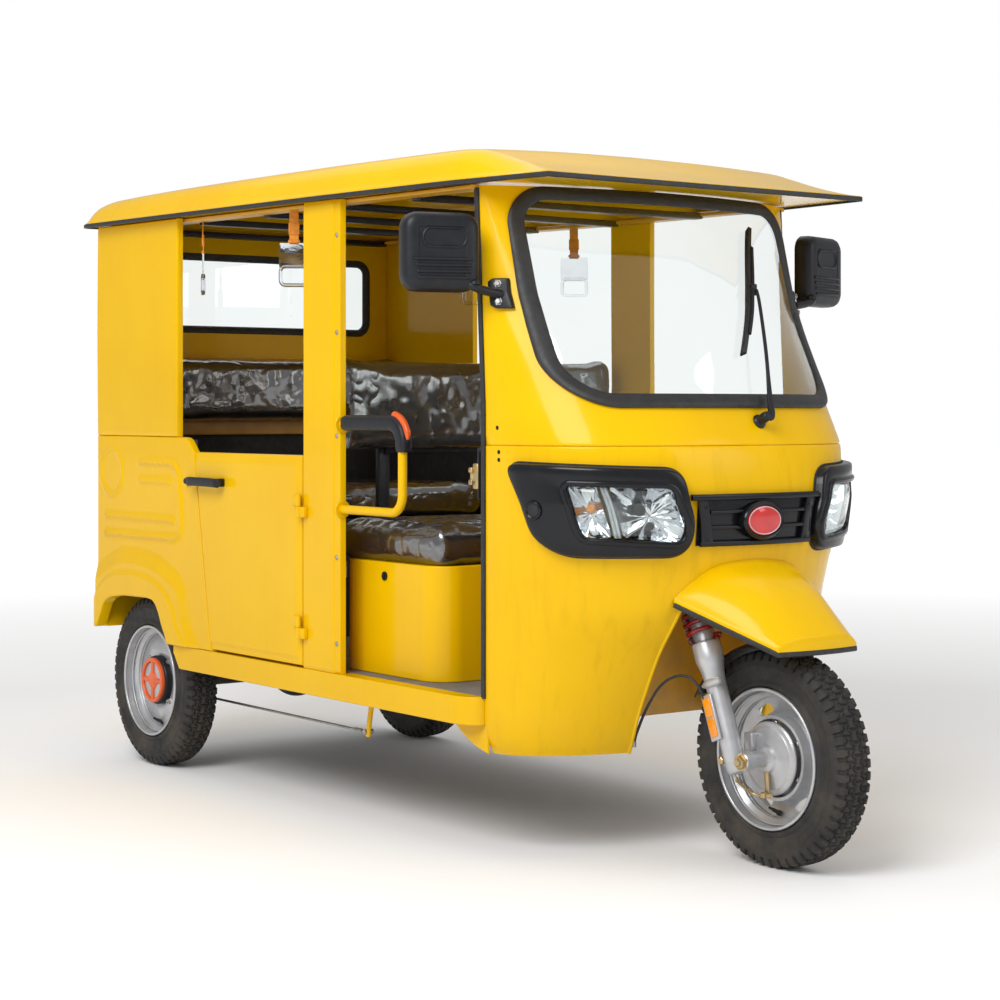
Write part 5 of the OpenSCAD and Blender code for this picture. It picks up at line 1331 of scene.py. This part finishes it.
def makePlain():
    # finished copies of plain nodes, and the corners of the cowl
    for node, material, slot, edge in plain:
        softened(node + "_finish", node, material, edge)
    # cowl corner that closes the gap under each sill's front end
    outline = np.vstack([smoothPath(corner["curve"], 6), spread(corner["back"], np.linspace(0, 1, 20))])
    makePiece("cowl_corners", withMirror([plankPart(outline, -504, -494, upright, 4)]), paint)


def armPath(out=0.0):
    # the rail's centre line from the pillar, round both front corners and back
    (x, z), (a, b) = armRest["middle"], np.add(armRest["half"], out)
    r = armRest["round"] + out
    arc = np.radians(np.linspace(90, 0, 12))
    top = np.stack([x + a - r + r * np.cos(arc), z + b - r + r * np.sin(arc)], -1)
    low = np.stack([top[::-1, 0], 2 * z - top[::-1, 1]], -1)
    line = np.vstack([[(armRest["start"], z + b)], top, low, [(armRest["start"], z - b)]])
    return np.stack([line[:, 0], np.full(len(line), armRest["y"]), line[:, 1]], -1)


def makeArms():
    # a tube, a pad and an inlay carried along the rail's line at growing distances
    left = (0, 1, 0)
    rail = [sweepPart(spread(armPath(), np.linspace(0, 1, 90)), circle(armRest["tube"], 18), up=left)]
    rail += [lathePart(armRest["flange"], (53, armRest["y"], z), (1, 0, 0), 28) for z in (829.0, 1055.0)]
    pad = spread(armPath(4)[:13], np.linspace(.03, 1, 60))
    pad = np.vstack([pad, pad[-1] + np.array(armRest["drop"])])
    size = np.interp(np.linspace(0, 1, len(pad)), *armRest["padSize"])
    black = sweepPart(pad, roundRect(42, 34, 12, 6), up=left, scale=size)
    shares = np.linspace(0, 1, 30)
    size = np.interp(shares, *armRest["inlaySize"])
    inlay = sweepPart(spread(armPath(14.5)[1:12], shares), roundRect(43.4, 15, 6, 6), up=left, scale=size)
    makePair("arm_rail", "tube", rail, paint, replaces=True)
    makePair("arm_pad", "cover", [black], plastic, replaces=True)
    makePair("arm_pad", "inlay", [inlay], orange)


def makeRear():
    # window pane and its rubber frame, lamps in black housings, pressed beads, lining and board
    softened("rear_window_pane", "rear_window", glass, 1)
    seal = shellPart(stacked(roundRect(*rear["pane"]), rear["seal"]) + rear["window"])
    makePiece("rear_window_seal", [seal], rubber, sharp=45)
    for name, material, slot, x, z, size, radius in rear["lamps"]:
        pair = [boxPart((x, s * rear["lampY"], z), size, radius) for s in (-1, 1)]
        makePiece("tail_lamps_" + name, pair, material, replaces="tail_lamps" if name == "housing" else None)
    makePiece("rear_wall_beads", [boxPart(*row) for row in rear["beads"]], paint)
    makePiece("cabin_lining", [boxPart(*row) for row in rear["lining"]], lining)
    makePiece("rear_board", [boxPart(*rear["board"])], wood)


def makeSmall():
    # key lock and clip on the seat box, latch and screws at the cowl, instrument dials
    out = (0, -1, 0)
    makePiece("seat_box_lock", [lathePart(small["lock"], small["lockSpot"], out, 24)], gloss)
    clip = [boxPart(*row) for row in small["clip"]] + [lathePart(small["clipPin"], small["clipPinSpot"], out, 16)]
    makePiece("seat_box_clip", withMirror(clip), zinc)
    latch = [boxPart(*row) for row in small["latch"]] + [lathePart(small["latchPin"], small["latchPinSpot"], up, 18)]
    makePiece("cowl_latches", withMirror(latch), zinc)
    spots = [skin(small["screwAngle"], h, 0) for h in small["screwHeights"]]
    heads = [dome(spot, (.05, -1, 0), small["screwRadius"]) for spot in spots]
    makePiece("cowl_edge_screws", withMirror(heads), gloss)
    dials = [lathePart(small["dial"], spot, (-1, 0, .5), 40) for spot in small["dials"]]
    makePiece("dash_dials", dials, gloss)


def makeStraps():
    # webbing bands from the roof rail, each with a clear plate and a loop to hold, turned about the band
    low, split, high, wide = (strap[key] for key in ("low", "split", "high", "wide"))
    plate = roundRect(wide, high - split, 6, 6) + (0, (high + split) / 2)
    loop = roundRect(wide - 8, split - low + 8, 14, 7) + (0, (split + low) / 2)
    ring = np.column_stack([loop[:, 0], np.zeros(len(loop)), loop[:, 1]])
    bands, grips = [], []
    for (x, s), angle in strap["turns"].items():
        turn, spot = spun(angle), (x, s * strap["y"], 0)
        place = lambda p: p @ turn + spot
        band = np.array([(0, 0, high - 4), (0, 2, 1590), (0, -1, 1620), (0, 0, float(roofEdge(x)) - 10)])
        bands.append(sweepPart(place(band), roundRect(26, 3.4, 1.5), up=turn[1]))
        for points, faces in (boxPart((0, 0, 1564), (34, 9, 10), 3), boxPart((0, 0, 1600), (31, 8, 34), 3)):
            bands.append((place(points), faces))
        grips += [plankPart(plate, -2.5, 2.5, lambda p: place(upright(p)), 1.6),
                  sweepPart(place(ring), roundRect(10, 12, 4), closed=True, up=turn[1])]
    makePiece("grab_straps_bands", bands, webbing, replaces="grab_straps")
    makePiece("grab_straps_handles", grips, film, sharp=30)


def makeLinkage():
    # brake arm under the sill, its pull rod and the levers at both ends
    foot, end = linkage["foot"], linkage["end"]
    arm = [sweepPart(foot + linkage["arm"], roundRect(16, 10, 4), up=(0, 1, 0)),
           boxPart(foot + (25, 0, 112), (34, 38, 50), 5)]
    makePiece("brake_linkage_arm", arm, paint, replaces="brake_linkage")
    rod = [tubePart([foot + (0, 0, 4), foot + (-40, 2, 3), end + (40, -2, 0), end], 3.6, 10),
           lathePart(linkage["pin"], foot + (-4, 0, 4), (0, 1, 0), 16),
           tubePart([foot + (-30, 1, 3.6), foot + (-70, 4, 3)], 5.5, 6), boxPart(end + (-2, 0, 6), (26, 14, 44), 5)]
    makePiece("brake_linkage_rod", rod, steel)


makePlain()
makeArms()
makeRear()
makeSmall()
makeStraps()
makeLinkage()
print("cabin made")


# Cushions: rounded blocks blown up a little as cloth, so that their covers wrinkle at the edges
cushions = {"driver_cushion": {"middle": (138, 0, 741), "size": (500, 940, 100), "round": 40, "fill": .75},
            "driver_backrest": {"middle": (-96, 0, 1107), "size": (84, 940, 262), "round": 36, "fill": .7},
            "rear_cushion": {"middle": (-1012, 0, 805.5), "size": (524, 1046, 99), "round": 40, "fill": .75},
            "rear_backrest": {"middle": (-1300, 0, 1162), "size": (92, 1030, 214), "round": 36, "fill": .7}}
backing = {"posts": [((-122, y, 700), (20, 38, 620), 5) for y in (-300, 300)],
           "bar": [(-122, -300, 980), (-122, 300, 980)], "board": ((-1356, 0, 1150), (20, 1060, 230), 5)}
cover = {"voxel": 0.013, "pressure": 4.0, "slack": -0.07, "frames": 20, "cap": 0.010}


def settled(piece):
    # the piece with its modifiers worked into the mesh
    mesh = bpy.data.meshes.new_from_object(piece.evaluated_get(bpy.context.evaluated_depsgraph_get()))
    mesh.name = piece.name
    return mesh


def pointsOf(mesh):
    # vertices as an array
    flat = np.empty(len(mesh.vertices) * 3, np.float32)
    mesh.vertices.foreach_get("co", flat)
    return flat.reshape(-1, 3)


def blowUp(made):
    # each cover is let out as cloth, and no point moves farther than the cap
    before = [pointsOf(piece.data) for piece in made]
    for piece in made:
        cloth = piece.modifiers.new("cover", "CLOTH").settings
        cloth.use_pressure, cloth.uniform_pressure_force = True, cover["pressure"]
        cloth.shrink_min = cover["slack"]
        cloth.effector_weights.gravity = 0
    for step in range(1, cover["frames"] + 1):
        bpy.context.scene.frame_set(step)
    for piece, rest in zip(made, before):
        moved = pointsOf(settled(piece)) - rest
        far = np.linalg.norm(moved, axis=1, keepdims=True)
        piece.modifiers.clear()
        points = rest + moved * np.minimum(1, cover["cap"] / np.maximum(far, 1e-6))
        piece.data.vertices.foreach_set("co", points.astype(np.float32).ravel())
        piece.data.update()
    bpy.context.scene.frame_set(1)


def makeCushions():
    # rounded blocks remeshed evenly, blown up and made fine, then posts and board behind
    made = []
    for node, row in cushions.items():
        block = boxPart(row["middle"], row["size"], row["round"], steps=6)
        piece = makePiece(node + "_cover", [block], wrapped, replaces=node, sharp=180)
        even = piece.modifiers.new("evenMesh", "REMESH")
        even.mode, even.voxel_size = "VOXEL", cover["voxel"]
        mesh = settled(piece)
        piece.modifiers.clear()
        piece.data = mesh
        made.append(piece)
    blowUp(made)
    for piece in made:
        piece.data.materials.clear()
        piece.data.materials.append(wrapped)
        piece.data.shade_smooth()
        fine = piece.modifiers.new("fineCover", "SUBSURF")
        fine.levels = fine.render_levels = 1
    posts = [boxPart(*row) for row in backing["posts"]]
    posts += [sweepPart(backing["bar"], roundRect(20, 30, 5), up=(1, 0, 0))]
    makePiece("driver_backrest_posts", posts, plastic)
    makePiece("rear_backrest_board", [boxPart(*backing["board"])], wood)


makeCushions()
print("cushions made")
